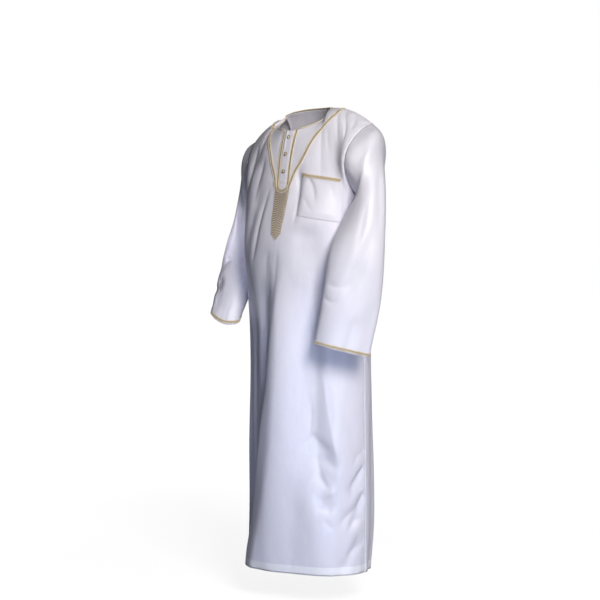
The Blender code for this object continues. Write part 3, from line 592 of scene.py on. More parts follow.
def woven_satin(name, tint, shade):
    """Polyester satin, woven with long floats and heat-set: a smooth face with a soft broad shine.
    It gives the eye pale highlights that run along the folds, and cool grey shadows. Its colour
    is also a painted shade: darker in the hollows of the crumples."""
    finish, tree = new_finish(name)
    cut = add(tree, "UVMap", {"uv_map": "cut"}).outputs[0]
    # Yarns are 0.15 mm apart, too fine to show, so the warp is drawn as 3 mm streaks.
    streaks = noise(tree, cut, (330.0, 14.0, 1.0), Detail=3.0)
    # Handling leaves soft crumples 30 to 60 mm across, longer down the cloth.
    crumple_and_shade = noise(tree, cut, (30.0, 13.0, 1.0), Detail=2.5, Roughness=0.45, Distortion=0.4)
    slubs = noise(tree, cut, (26.0, 420.0, 1.0), Detail=2.0)
    normal = relief(tree, crumple_and_shade, 0.35, 0.0035)
    normal = relief(tree, streaks, 0.10, 0.0006, normal)
    normal = relief(tree, slubs, 0.08, 0.0005, normal)
    # The colour goes to the shade colour where the crumple noise is low, in the hollows of its bump: a
    # painted shade.
    finish_off(
        tree,
        {"IOR": 1.5, "Specular IOR Level": 0.55, "Anisotropic": 0.45, "Sheen Weight": 0.12,
         "Sheen Roughness": 0.35},
        {"Base Color": blend(tree, shade, tint, crumple_and_shade), "Normal": normal,
         "Roughness": span(tree, streaks, 0.3, 0.7, 0.34, 0.44)},
    )
    return finish


def metallic_yarn(name, light, dark, metallic, roughness, pitch, slant=0.0):
    """Metallised polyester yarn, twisted or woven: its colour lightens in flecks along its thread
    lines, painted glints of the metal.
    pitch is the real spacing of those lines in metres."""
    finish, tree = new_finish(name)
    cut = add(tree, "UVMap", {"uv_map": "cut"}).outputs[0]
    lay = {"Rotation": (0.0, 0.0, slant), "Scale": (1 / pitch, 1 / pitch, 1.0)}
    turned = add(tree, "Mapping", lay, {"Vector": cut}).outputs[0]
    lines = add(
        tree, "TexWave",
        {"wave_type": "BANDS", "bands_direction": "Y", "Scale": 0.31, "Distortion": 0.6, "Detail": 1.0},
        {"Vector": turned},
    ).outputs["Fac"]
    flecks = noise(tree, turned, 3.0, Detail=2.0)
    # The colour is lighter where the thread lines and the flecks meet: painted glints.
    painted_glints = add(tree, "Math", {"operation": "MULTIPLY"}, {0: lines, 1: flecks}).outputs[0]
    finish_off(
        tree, {"Metallic": metallic, "Roughness": roughness},
        {"Base Color": blend(tree, dark, light, span(tree, painted_glints, 0.0, 0.55)),
         "Normal": relief(tree, lines, 0.5, 0.0003)},
    )
    return finish


def clouded(name, low, high, scale, settings, grain, rough=None):
    """A finish whose colour wanders between two. grain holds the settings of its noise."""
    finish, tree = new_finish(name)
    cloud = noise(tree, add(tree, "TexCoord").outputs["Object"], scale, **grain)
    links = {"Base Color": blend(tree, low, high, cloud)}
    if rough:
        links["Roughness"] = span(tree, cloud, 0.0, 1.0, *rough)
    finish_off(tree, settings, links)
    return finish


# In each satin the second colour is the painted shade for the hollows of the crumples.
SATIN = woven_satin("white_satin", "#EFECF5", "#E6E4F0")
# The turned-up hem is double cloth, so less shows through and it looks whiter.
DOUBLE_SATIN = woven_satin("doubled_satin", "#FEFDFF", "#F8F7FF")
# The braids' yarns: the flat ground, the laid cords and the knots, each a step apart in tone.
# In each yarn the first colour is that of its painted glints, the second its own tone.
BRAID_GROUND = metallic_yarn("braid_ground", "#DCCAA8", "#B8A584", 0.1, 0.55, 0.0009)
BRAID_CORD = metallic_yarn("braid_cord", "#FAF0DC", "#E4D5B8", 0.15, 0.40, 0.0011, 0.7)
BRAID_KNOT = metallic_yarn("braid_knot", "#5C4A38", "#3F3226", 0.1, 0.55, 0.0009)
PALE_KNOT = metallic_yarn("pale_knot", "#B09A72", "#8C7854", 0.1, 0.55, 0.0009)
TIE_GROUND = metallic_yarn("tie_ground", "#6C5B54", "#4B3E38", 0.1, 0.6, 0.0009)
TIE_CORD = metallic_yarn("tie_cord", "#DDD0BC", "#BAAA98", 0.15, 0.45, 0.0011, 0.7)
SEQUIN = metallic_yarn("sequin_foil", "#F6EEDC", "#DACDB2", 0.3, 0.35, 0.0030)
# Spun polyester sewing thread, matt and slightly furry: it gives the eye pale dashes.
THREAD = clouded(
    "white_thread", "#F2F1F7", "#D5D4E0", 1800.0, {"Roughness": 0.65, "Sheen Weight": 0.2},
    {"Detail": 2.0},
)
# Cast polyester resin with pearl flake: milky, glossy and faintly clouded.
PEARL = clouded(
    "pearl_resin", "#EBDDBE", "#FBF3DE", 420.0,
    {"IOR": 1.56, "Roughness": 0.18, "Coat Weight": 0.5, "Coat Roughness": 0.08},
    {"Detail": 3.0, "Distortion": 1.2},
)
# Thinly gilded zinc: a warm worn yellow that catches small sharp lights.
GILT = clouded(
    "gilt_zinc", "#6B5226", "#B8924C", 900.0, {"Metallic": 0.9}, {"Detail": 3.0}, rough=(0.25, 0.45)
)

# ---- meshes --------------------------------------------------------------------------------


def mesh_piece(name, slot, points, faces, materials, uv=None, kinds=None, node=None):
    """Add a smooth-shaded mesh that rides on the robe, in the place of a solid if it names one."""
    mesh = bpy.data.meshes.new(name)
    mesh.from_pydata(np.asarray(points).tolist(), [], [list(map(int, f)) for f in faces])
    for finish in materials:
        mesh.materials.append(finish)
    mesh.polygons.foreach_set("use_smooth", [True] * len(mesh.polygons))
    if kinds is not None:
        mesh.polygons.foreach_set("material_index", [int(k) for k in kinds])
    if uv is not None:
        corners = np.zeros(len(mesh.loops), int)
        mesh.loops.foreach_get("vertex_index", corners)
        layer = mesh.uv_layers.new(name="cut")
        layer.data.foreach_set("uv", np.asarray(uv)[corners].ravel().astype(np.float32))
    piece = placed(name, mesh)
    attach(piece, "root")
    if node:
        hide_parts(node)
    return piece


def numbered(rows, columns):
    return np.arange(rows * columns).reshape(rows, columns)


def quads(index, closed=False):
    """Faces between the rows and columns of a grid of point numbers."""
    right = np.roll(index, -1, axis=1)
    spans = slice(None) if closed else slice(0, -1)
    corners = [index[:-1, spans], right[:-1, spans], right[1:, spans], index[1:, spans]]
    return np.stack(corners, axis=-1).reshape(-1, 4)


def shell(outer, inner, normals, closed=False):
    """Points and faces of a thin closed shell between two grids."""
    index = numbered(*outer.shape[:2])
    points = np.concatenate([outer.reshape(-1, 3), inner.reshape(-1, 3)])
    face = quads(index, closed)
    across = np.concatenate([index, index[:, :1]], axis=1) if closed else index
    edges = [(across[0, 1:], across[0, :-1]), (across[-1, :-1], across[-1, 1:])]
    if not closed:
        edges += [(index[1:, -1], index[:-1, -1]), (index[:-1, 0], index[1:, 0])]
    rim = np.concatenate([np.stack(edge, axis=-1) for edge in edges])
    rim = np.concatenate([rim, rim[:, ::-1] + index.size], axis=1)
    faces = np.concatenate([face, face[:, ::-1] + index.size, rim])
    rows, columns = index.shape
    a, b, _, d = face[rows // 2 * len(face) // rows + columns // 2]
    facing = np.cross(points[b] - points[a], points[d] - points[a])
    if facing @ normals.reshape(-1, 3)[a] < 0:
        faces = faces[:, ::-1]
    return points, faces


def cut_measure(grid, closed=False):
    """UV of a grid in metres: sideways from the middle column and along from the first row."""
    sideways = np.linalg.norm(np.diff(grid, axis=1, prepend=grid[:, :1]), axis=2).cumsum(axis=1)
    along = np.linalg.norm(np.diff(grid, axis=0, prepend=grid[:1]), axis=2).cumsum(axis=0)
    if not closed:
        sideways = sideways - sideways[:, [grid.shape[1] // 2]]
    return np.stack([sideways, along], axis=-1)


def cloth_piece(
    name, slot, node, grid, normals, finish, thickness=0.0, inner=None, closed=False, without=None,
    lengthwise=False,
):
    """A cloth shell whose outer face is the grid, without the quads marked as cut away. Its
    pattern runs along the rows if it's lengthwise."""
    if inner is None:
        inner = grid - normals * np.broadcast_to(thickness, grid.shape[:2])[..., None]
    points, faces = shell(grid, inner, normals, closed)
    if without is not None:
        kept = np.tile(~without.ravel(), 2)
        faces = np.concatenate([faces[: kept.size][kept], faces[kept.size :]])
    uv = cut_measure(grid, closed)
    uv = np.tile((uv[..., ::-1] if lengthwise else uv).reshape(-1, 2), (2, 1))
    return mesh_piece(name, slot, points, faces, [finish], uv, node=node)


class Cloth:
    """The outer face of a cloth piece, to sew trims on. plain is the same cloth without folds."""

    def __init__(self, outer, normals, plain=None):
        self.plain = plain
        self.normals = normals.reshape(-1, 3)
        self.faces = quads(numbered(*outer.shape[:2]))
        self.points = outer.reshape(-1, 3)
        self.tree = BVHTree.FromPolygons(self.points.tolist(), self.faces.tolist())

    def onto(self, points):
        """The nearest places on the cloth."""
        return np.array([tuple(self.tree.find_nearest(Vector(p))[0]) for p in points])

    def facing(self, points):
        """Outward direction of the cloth at each place, smooth over its faces."""
        result = []
        for p in points.reshape(-1, 3):
            place, _, face, _ = self.tree.find_nearest(Vector(p))
            corners = self.faces[face]
            gap = np.linalg.norm(self.points[corners] - np.array(place), axis=1)
            weight = 1 / (gap + 1e-5)
            result.append((self.normals[corners] * weight[:, None]).sum(axis=0))
        return unit(np.array(result)).reshape(points.shape)

    def laid(self, points):
        """The cloth's places over or under points, square to its form without folds."""
        result = []
        for place in self.plain.onto(points):
            out = Vector(self.plain.facing(place[None])[0])
            hit = self.tree.ray_cast(Vector(place) + out * 0.04, -out, 0.08)[0]
            result.append(tuple(hit or self.tree.find_nearest(Vector(place))[0]))
        return np.array(result)

    def front(self, x, z):
        """The cloth's places straight in front of the places (x, z)."""
        x, z = np.broadcast_arrays(x, z)
        result = []
        for a, c in zip(x.ravel(), z.ravel()):
            hit = self.tree.ray_cast(Vector((a, -1.0, c)), Vector((0, 1, 0)))[0]
            result.append(tuple(hit or self.tree.find_nearest(Vector((a, -0.10, c)))[0]))
        return np.array(result).reshape(*x.shape, 3)


def joined(parts):
    """One set of points and faces out of several."""
    points, faces, base = [], [], 0
    for more_points, more_faces in parts:
        points.append(more_points)
        faces += [[i + base for i in face] for face in more_faces]
        base += len(more_points)
    return np.concatenate(points), faces


def circle(count):
    """Cosines and sines round a circle."""
    turn = np.arange(count) * 2 * math.pi / count
    return np.cos(turn), np.sin(turn)


def cord_piece(name, slot, cords, finish, sides=6):
    """Round cords, each (centres, facing, radius, closed), as one piece."""
    parts, uv = [], []
    cosine, sine = (side[None, :, None] for side in circle(sides))
    for centres, facing, radius, closed in cords:
        ahead = heading(centres, closed)
        up = unit(facing - (facing * ahead).sum(axis=1, keepdims=True) * ahead)
        around = cosine * up[:, None] + sine * np.cross(ahead, up)[:, None]
        index = numbered(len(centres), sides)
        faces = quads(np.concatenate([index, index[:1]]) if closed else index, closed=True).tolist()
        if not closed:
            faces += [index[0][::-1].tolist(), index[-1].tolist()]
        parts.append(((centres[:, None] + around * radius).reshape(-1, 3), faces))
        round_cord = np.arange(sides) / sides * 0.004
        across, run = np.broadcast_arrays(round_cord, run_length(centres)[:, None])
        uv.append(np.stack([across, run], axis=-1).reshape(-1, 2))
    return mesh_piece(name, slot, *joined(parts), [finish], np.concatenate(uv))


def repeated(forms, pattern):
    """Points and faces of a small form made many times. forms is (count, points of one, 3)."""
    return joined((form, pattern) for form in forms)


BEAD_SIDES = 8
BEAD_RINGS = ((1.0, -0.2), (0.92, 0.5), (0.5, 0.93))  # share of the reach, share of the height


def beads(places, facing, ahead, size, proud):
    """Small domed knots: size is (half length, half width) and proud their height."""
    cosine, sine = (side[:, None] for side in circle(BEAD_SIDES))
    on = unit(ahead - (ahead * facing).sum(axis=1, keepdims=True) * facing)
    aside = np.cross(facing, on)
    place, up, on, aside = (rows[:, None] for rows in (places, facing, on, aside))
    rings = [
        place + cosine * on * size[0] * reach + sine * aside * size[1] * reach + up * proud * height
        for reach, height in BEAD_RINGS
    ]
    index = numbered(len(BEAD_RINGS), BEAD_SIDES)
    top = index.size
    pattern = quads(index, closed=True).tolist()
    pattern += [[k, n, top] for k, n in zip(index[-1], np.roll(index[-1], -1))]
    pattern.append(index[0][::-1].tolist())
    return repeated(np.concatenate([*rings, place + up * proud], axis=1), pattern)


STITCH = (0.0022, 0.0008, 0.00022)  # length, gap and half width of a thread stitch
CUFF_STITCH = (0.0024, 0.0009, 0.00022)
HEM_STITCH = (0.0026, 0.0010, 0.00025)
STITCH_LIFT = 0.0001


def stitches(path, facing, size):
    """Points and faces of a row of thread stitches along a path."""
    length, gap, radius = size
    path = path + facing * STITCH_LIFT
    run = run_length(path)
    starts = np.arange(0, run[-1] - length, length + gap)
    up = unit(read_off(starts + length / 2, run, facing))
    start, middle, end = (read_off(starts + length * part, run, path) for part in (0, 0.5, 1))
    aside = np.cross(unit(end - start), up)
    side, top, under = aside * radius, up * radius * 1.3, up * radius * 0.4
    corners = [start, middle + side, middle + top, middle - side, middle - under, end]
    pattern = [face for a, b in ((1, 2), (2, 3), (3, 4), (4, 1)) for face in ([0, b, a], [5, a, b])]
    return repeated(np.stack(corners, axis=1), pattern)


# ---- panels --------------------------------------------------------------------------------

CLOTH_THICKNESS = 0.0008
HEM_DEPTH = 0.028
HEM_FULLNESS = 2.2  # thicknesses of cloth in the turned-up hem, loosely pressed
FOLD_START, CREASE_START = 0.03, 0.012  # how near a side seam folds and creases die away
SEAM_GROOVE = (0.0008, 0.0026)  # how deep and wide a seam sinks
STITCH_GROOVE = (0.0007, 0.0025)
PLACKET_GROOVE = (0.0020, 0.0040)  # in the cloth beside the placket
PLACKET_SIDE = -0.0225
SIDE_PULLS = ((0.0017, 0.021, 0.016), (0.0010, 0.008, 0.016))  # height, pitch, reach
HEM_PUCKERS = (0.0007, 0.030, 0.012)
HEM_WAVE = (0.0035, 0.085, 0.10)
SLIT = (-0.0172, -0.0128, -0.155)  # the opening beside the placket: from x, to x, down to z
PANEL_FINENESS = {FRONT: (160, 180, 78), BACK: (120, 130, 60)}  # columns, rows below and above


def folded_panel(face):
    """Outer face and normals of a panel with its folds, creases, seams and hem."""
    columns, lower_rows, upper_rows = PANEL_FINENESS[face]
    across = np.linspace(-1, 1, columns + 1)
    ups = np.concatenate([np.linspace(0, 1, lower_rows + 1), np.linspace(1, 2, upper_rows + 1)[1:]])
    grid = filled_out(panel_grid(face, across, ups))
    normals = outward(grid, -face)
    u = np.broadcast_to(across * PANEL_REACH, grid.shape[:2])
    v = grid[..., 2]
    from_side, from_top = PANEL_REACH - np.abs(u), (2 - ups)[:, None]
    rise = fold_height(FOLDS[face], u, v) * ease(from_side / FOLD_START)
    rise += fold_height(CREASES[face], u, v, CREASE) * ease(from_side / CREASE_START)
    rise *= ease(from_top / 0.12)
    # The side seams are a little tight and pucker the cloth beside them.
    start = np.where(u > 0, 1.3, 4.1) + (face == BACK) * 2.2
    for turn, pull in enumerate(SIDE_PULLS):
        rise += puckers(pull, v, from_side, start + turn) * ease(from_side / 0.004)
    rise -= groove(SEAM_GROOVE, from_side)
    # The hem puckers along its stitches and waves a little at its edge.
    above_hem = v - HEM_HEIGHT
    rise += puckers(HEM_PUCKERS, u, np.abs(above_hem - HEM_DEPTH), 2.0 + face)
    rise -= groove(STITCH_GROOVE, above_hem - HEM_DEPTH)
    rise += puckers(HEM_WAVE, u, above_hem, 5.0 + face)
    if face == FRONT:
        beside_placket = ease((v + 0.160) / 0.05) * ease(from_top / 0.06)
        rise -= groove(PLACKET_GROOVE, u - PLACKET_SIDE) * beside_placket
    folded = grid + normals * rise[..., None]
    return folded, outward(folded, -face), Cloth(grid, normals)


def make_panels():
    """The panels by face, each as (outer face, normals, piece, cloth without folds)."""
    panels = {}
    for face, name, node in ((FRONT, "front_cloth", "front_panel"), (BACK, "back_cloth", "back_panel")):
        grid, normals, plain = folded_panel(face)
        hemmed = grid[..., 2] - HEM_HEIGHT < HEM_DEPTH
        thickness = CLOTH_THICKNESS * np.where(hemmed, HEM_FULLNESS, 1.0)
        slit = None
        if face == FRONT:
            x, z = grid[:-1, :-1, 0], grid[:-1, :-1, 2]
            slit = (x > SLIT[0]) & (x < SLIT[1]) & (z > SLIT[2])
        piece = cloth_piece(name, "satin", node, grid, normals, SATIN, thickness, without=slit)
        piece.data.materials.append(DOUBLE_SATIN)
        for facet in piece.data.polygons:
            facet.material_index = int(facet.center.z < HEM_HEIGHT + HEM_DEPTH)
        panels[face] = (grid, normals, piece, plain)
    return panels


# ---- sleeves -------------------------------------------------------------------------------

FORWARD_LEAVE = {LEFT: 0.1, RIGHT: 0.2}  # how far the cloth turns forward round the front of the arm
SLEEVE_FINENESS = (60, 130)  # rows up each side of the armhole, rings along
CUFF_DEPTH = 0.016
SLEEVE_FOLD_START, SLEEVE_CREASE_START = 0.06, 0.02  # how near its head folds and creases die away
HEAD_PUCKERS = (0.0012, SLEEVE_ROUND / 17, 0.022)
UNDERARM_PULL = (0.0009, 0.023, 0.014)
CUFF_WAVE = (0.0020, SLEEVE_ROUND / 6, 0.05)


def folded_sleeve(side):
    """Outer face and normals of a sleeve with its folds and creases."""
    half, rings = SLEEVE_FINENESS
    ring, inward = armhole(side, half)
    turn = np.arange(len(ring)) / len(ring)
    under = ((1 - np.cos(2 * math.pi * turn)) / 2)[:, None] ** UNDERARM_SHARE
    leave = unit((1 - under) * unit(-inward) + under * unit(np.array([side, 0.0, -0.3])))
    front_of_arm = hump(turn - 0.25, 0.13)[:, None]
    leave = unit(leave + front_of_arm * FORWARD_LEAVE[side] * np.array([0.0, -1.0, 0.0]))
    knots = np.array([0.0] + [row[0] for row in SLEEVE_SECTIONS[side]])
    cuff = knots[-1]
    alongs = cuff * (1 - (1 - np.linspace(0, 1, rings + 1)) ** RING_CROWDING)
    rows = np.concatenate([ring[None], sleeve_rings(side, turn * 2 * math.pi)])
    slopes = np.gradient(rows, knots, axis=0)
    slopes[0] = leave
    grid = filled_out(through(knots, rows, slopes, alongs))
    degrees, along = np.broadcast_arrays(turn * 360, alongs[:, None])
    rise, scale = np.zeros(along.shape), (SLEEVE_REACH, MM)
    from_head, from_head_creases = ease(along / SLEEVE_FOLD_START), ease(along / SLEEVE_CREASE_START)
    for wrap in (-360, 0, 360):
        u = (degrees + wrap) * SLEEVE_REACH
        rise += fold_height(SLEEVE_FOLDS[side], u, along, FOLD, scale) * from_head
        rise += fold_height(SLEEVE_CREASES[side], u, along, CREASE, scale) * from_head_creases
    # The sleeve head is eased into the armhole, which leaves short puckers round it.
    around = degrees * SLEEVE_REACH
    rise += puckers(HEAD_PUCKERS, around, along, 2.0 + side) * ease(along / 0.004)
    rise -= groove(SEAM_GROOVE, along)
    # The underarm seam runs the length of the sleeve.
    from_seam = np.abs(degrees - 180) * SLEEVE_REACH
    rise += puckers(UNDERARM_PULL, along, from_seam, 5.0 + side) * ease(from_seam / 0.003)
    rise -= groove(SEAM_GROOVE, from_seam) * 0.8
    rise += puckers(CUFF_WAVE, around, cuff - along, 1.0 + side)
    grid = grid + outward(grid, side, closed=True) * rise[..., None]
    return grid, outward(grid, side, closed=True), alongs


def make_sleeves():
    """The sleeves by side, each as (outer face, normals, piece, ending of its names)."""
    sleeves = {}
    for side, ending in ((LEFT, "left"), (RIGHT, "right")):
        grid, normals, alongs = folded_sleeve(side)
        thickness = CLOTH_THICKNESS * np.where(alongs[-1] - alongs < CUFF_DEPTH, 2.0, 1.0)[:, None]
        piece = cloth_piece(
            "sleeve_cloth_" + ending, "satin", "sleeve_" + ending, grid, normals, SATIN, thickness,
            closed=True,
        )
        sleeves[side] = (grid, normals, piece, ending)
    return sleeves


# ---- braids --------------------------------------------------------------------------------

BRAID_WIDTH = 0.011
CUFF_BRAID_WIDTH = 0.010
BRAID_STEP = 0.0010
BRAID_WAVE = 0.0136  # one wave of the two crossing cords
GROUND_THICKNESS = 0.0007
CORD_RADIUS = 0.0006
EDGE_RADIUS = 0.0010
EDGE_SINK = 0.0002  # how far the edge cords sink into the ground
KNOT_SIZE = ((0.0023, 0.0019), 0.0009)  # half length and half width, height


def make_braid(name, node, centre, facing, lift, width=BRAID_WIDTH, closed=False, knot=BRAID_KNOT):
    """A woven band with a cord along each edge, two waving cords and knots in their loops."""
    half_width = width / 2
    ahead = heading(centre, closed)
    aside = unit(np.cross(facing, ahead))
    offsets = np.linspace(-half_width, half_width, 7)
    crown = GROUND_THICKNESS * (1 - 0.6 * (offsets / half_width) ** 4)
    spread = centre[:, None] + aside[:, None] * offsets[None, :, None]
    lift = np.broadcast_to(lift, (len(centre), 1))
    outer = spread + facing[:, None] * (lift + crown)[..., None]
    inner = spread + facing[:, None] * lift[..., None]
    normals = np.broadcast_to(facing[:, None], outer.shape)
    if closed:
        outer, inner, normals = (side.transpose(1, 0, 2) for side in (outer, inner, normals))
    ground = cloth_piece(
        name, "gold_braid", node, outer, normals, BRAID_GROUND, inner=inner, closed=closed,
        lengthwise=closed,
    )
    run = run_length(centre)
    total = run[-1] + (np.linalg.norm(centre[0] - centre[-1]) if closed else 0.0)
    waves = max(1, round(total / BRAID_WAVE))
    phase = 2 * math.pi * waves * run / total
    swing = half_width - 2 * EDGE_RADIUS - 0.4 * CORD_RADIUS
    top = lift + GROUND_THICKNESS + CORD_RADIUS * 0.3
    cords = []
    for hand in (-1, 1):
        edge = centre + aside * hand * (half_width - EDGE_RADIUS) + facing * (top - EDGE_SINK)
        cords.append((edge, facing, EDGE_RADIUS, closed))
        height = top + 0.3 * CORD_RADIUS * (1 + hand * np.sin(2 * phase))[:, None]
        wave = centre + aside * (hand * swing * np.sin(phase))[:, None] + facing * height
        cords.append((wave, facing, CORD_RADIUS, closed))
    laid = cord_piece(name + "_cords", "gold_braid", cords, BRAID_CORD)
    peaks = (np.arange(2 * waves) + 0.5) / (2 * waves) * total
    place, up, on, stand = (read_off(peaks, run, rows) for rows in (centre, facing, ahead, lift))
    up = unit(up)
    points, faces = beads(place + up * (stand + GROUND_THICKNESS * 0.7), up, on, *KNOT_SIZE)
    knots = mesh_piece(name + "_knots", "gold_braid", points, faces, [knot], points[:, [0, 2]])


# ---- chest trims ---------------------------------------------------------------------------

PLACKET_TOP = -0.0795
PLACKET_END = -0.262
PLACKET_HALF_WIDTHS = (0.0125, 0.0160)
PLACKET_HUB = PLACKET_END + PLACKET_HALF_WIDTHS[0]
PLACKET_FINENESS = (110, 14, 17)  # rows of the straight part and of the round end, columns
PLACKET_LIFT = 0.0003
PLACKET_THICKNESS = 0.0012
PLACKET_PUCKERS = (0.0004, 0.034)  # height and pitch
PLACKET_TACK = -0.2450  # the line of stitches that ties the band down above its round end
TACK_GROOVE = (0.0011, 0.0020)
PLACKET_SWELL = (0.0016, 0.0045)  # the cloth above that line stands up
SWELL_ABOVE_TACK = 0.0065
SLIT_GAP = 0.0032  # how far the placket's open edge draws back from its braid
OPEN_EDGE_LIFT = 0.0024
BRAID_GAP = 0.0006
LAY_GAP = 0.0005
RAISED_GAP = 0.0009
YOKE_BRAID = {
    LEFT: (
        (0.0235, -0.1370, -0.2580), (0.0300, -0.1335, -0.2375), (0.0409, -0.1282, -0.2063),
        (0.0564, -0.1227, -0.1814), (0.0693, -0.1145, -0.1533), (0.0792, -0.1025, -0.1238),
        (0.0885, -0.0884, -0.0995), (0.1015, -0.0715, -0.0755), (0.1160, -0.0590, -0.0555),
        (0.1270, -0.0380, -0.0335), (0.1310, -0.0080, -0.0145), (0.1345, 0.0090, -0.0110),
    ),
    RIGHT: (
        (-0.0235, -0.1370, -0.2580), (-0.0290, -0.1345, -0.2400), (-0.0345, -0.1305, -0.2190),
        (-0.0445, -0.1262, -0.1960), (-0.0550, -0.1195, -0.1690), (-0.0675, -0.1077, -0.1371),
        (-0.0820, -0.0925, -0.1130), (-0.0945, -0.0710, -0.0880), (-0.1070, -0.0385, -0.0575),
        (-0.1185, -0.0060, -0.0395), (-0.1250, 0.0130, -0.0345),
    ),
}
FACING_ROUNDS = 6  # how often a yoke braid's directions are evened out
CROSSING_HEIGHT, CROSSING_LIFT = -0.236, 0.0015  # a yoke braid's end over the placket braid
TIE_TIP = -0.4175
TIE_POINT = 0.019
TIE_LEAN = -0.005
TIE_HALF_WIDTHS = ((-0.4175, 0.0172), (-0.398, 0.0175), (-0.3515, 0.0225), (-0.250, 0.0268))
TIE_FINENESS = (50, 25)  # rows, columns
TIE_EDGE = 0.965  # where the edge cord lies, as a share of the half width
TIE_STRANDS = 12
STRAND_POINTS = 170
STRAND_SWING = 0.0225  # how far down a strand of the net runs while it crosses half the panel
STRAND_INSET = 1 - 0.0022 / STRAND_SWING
STRAND_RADIUS = 0.0007
SEQUIN_SIZE = ((0.0019, 0.0017), 0.0010)
POCKET_TOP = ((0.068, -0.213), (0.186, -0.232))
POCKET_BOTTOM = ((0.062, -0.345), (0.184, -0.367))
POCKET_SIZE = (0.120, 0.134)
POCKET_FINENESS = (60, 56)  # rows, columns
POCKET_FULLNESS = 0.0030
POCKET_EASE = 0.022  # how near its sewn edges the fullness dies away
POCKET_SEAM = (0.0005, 0.0012)  # the dent along its stitches
POCKET_SEAM_IN = 0.003
POCKET_PUCKERS = (0.0003, 0.011, 0.006)
MOUTH_HEM = (0.0006, 0.020)  # thickness and depth of its turned mouth
POCKET_FOLDS = (
    ((20, -14), (34, -26), (43, -44), (49, -70), (52, -100), -4.5, 17, 6, 0.2, 0.5),
    ((94, -18), (97, -55), (90, -90), -1.4, 10, 10, 0.3, 0.5),
    ((10, -70), (30, -95), (52, -128), -1.8, 8, 8, 0.3, 0.5),
)
BUTTON_HEIGHTS = (-0.100, -0.153, -0.207)
BUTTON_RADIUS = 0.0058
BUTTON_LIFT = 0.0003
BUTTON_SIDES = 48
BUTTON_PROFILE = (
    # share of the radius, height
    (0.80, 0.0), (0.97, 0.0006), (1.0, 0.0014), (0.96, 0.0023), (0.84, 0.0028),
    (0.70, 0.0025), (0.60, 0.0018), (0.50, 0.0023), (0.36, 0.0028), (0.18, 0.0031),
)
BUTTON_CROWN = 0.0032
NOTCH_DEPTH = 0.018  # share of the radius
KNURLED = range(1, 5)  # rings of the profile with notches
RIM_BANDS = 6  # bands of the profile that belong to the gilt rim


def placket_half_width(height):
    """Half width of the placket, which ends in a half round."""
    bottom, top = PLACKET_HALF_WIDTHS
    width = np.interp(height, [PLACKET_END, PLACKET_TOP], [bottom, top])
    drop = np.clip(PLACKET_HUB - height, 0, bottom * 0.99)
    return width * np.sqrt(1 - (drop / bottom) ** 2)


def make_placket(front):
    """The placket band, standing off a little at its open right edge, and its outer face."""
    rows, end_rows, columns = PLACKET_FINENESS
    straight = np.linspace(PLACKET_TOP, PLACKET_HUB, rows)
    turn = np.radians(np.linspace(6, 82, end_rows))
    rounded = PLACKET_HUB - PLACKET_HALF_WIDTHS[0] * np.sin(turn)
    heights = np.concatenate([straight, rounded])[:, None]
    u = np.linspace(-1, 1, columns)[None]
    drawn_back = SLIT_GAP * ease((heights + 0.165) / 0.05) * ease(-u)
    places = front.front(placket_half_width(heights) * u + drawn_back, heights)
    facing = front.facing(places)
    height, pitch = PLACKET_PUCKERS
    stand = LAY_GAP + PLACKET_THICKNESS * (1 - 0.55 * np.abs(u) ** 8)
    stand = stand + height * ripple(heights, pitch, 1.0) * (1 - u**2)
    above_tack = heights - PLACKET_TACK
    stand = stand - groove(TACK_GROOVE, above_tack)
    stand = stand + groove(PLACKET_SWELL, above_tack - SWELL_ABOVE_TACK) * (1 - u**4)
    open_edge = OPEN_EDGE_LIFT * ease((heights + 0.175) / 0.07) * ease((-0.1 - u) / 0.9)
    outer = places + facing * (stand + open_edge)[..., None]
    inner = places + facing * (PLACKET_LIFT + open_edge)[..., None]
    band = cloth_piece("placket_band", "satin", "placket", outer, facing, SATIN, inner=inner)
    sewn = [stitches(outer[:, column], facing[:, column], STITCH) for column in (2, -3)]
    thread = mesh_piece("placket_stitches", "satin", *joined(sewn), [THREAD])
    return Cloth(outer, facing)


def make_chest_braids(front):
    offset = BRAID_GAP + BRAID_WIDTH / 2
    ring = PLACKET_HALF_WIDTHS[0] + offset
    straight = np.linspace(PLACKET_TOP + 0.003, PLACKET_HUB, 30)
    turn = np.radians(np.linspace(5, 87.5, 18))
    x = np.concatenate([placket_half_width(straight) + offset, ring * np.cos(turn)])
    z = np.concatenate([straight, PLACKET_HUB - ring * np.sin(turn)])
    for hand, ending in ((LEFT, "left"), (RIGHT, "right")):
        path = front.laid(even_path(front.plain.front(hand * x, z), BRAID_STEP))
        name = "placket_braid_" + ending
        make_braid("woven_" + name, name, path, front.facing(path), LAY_GAP)
        path = front.plain.onto(smooth_path(YOKE_BRAID[hand], 80))
        path = front.laid(even_path(path, BRAID_STEP))
        facing = front.facing(path)
        for _ in range(FACING_ROUNDS):
            facing[1:-1] = unit(facing[:-2] + facing[1:-1] + facing[2:])
        over_end = CROSSING_LIFT * ease((CROSSING_HEIGHT - path[:, 2:]) / 0.006)
        name = "yoke_braid_" + ending
        make_braid("woven_" + name, name, path, facing, RAISED_GAP + over_end)


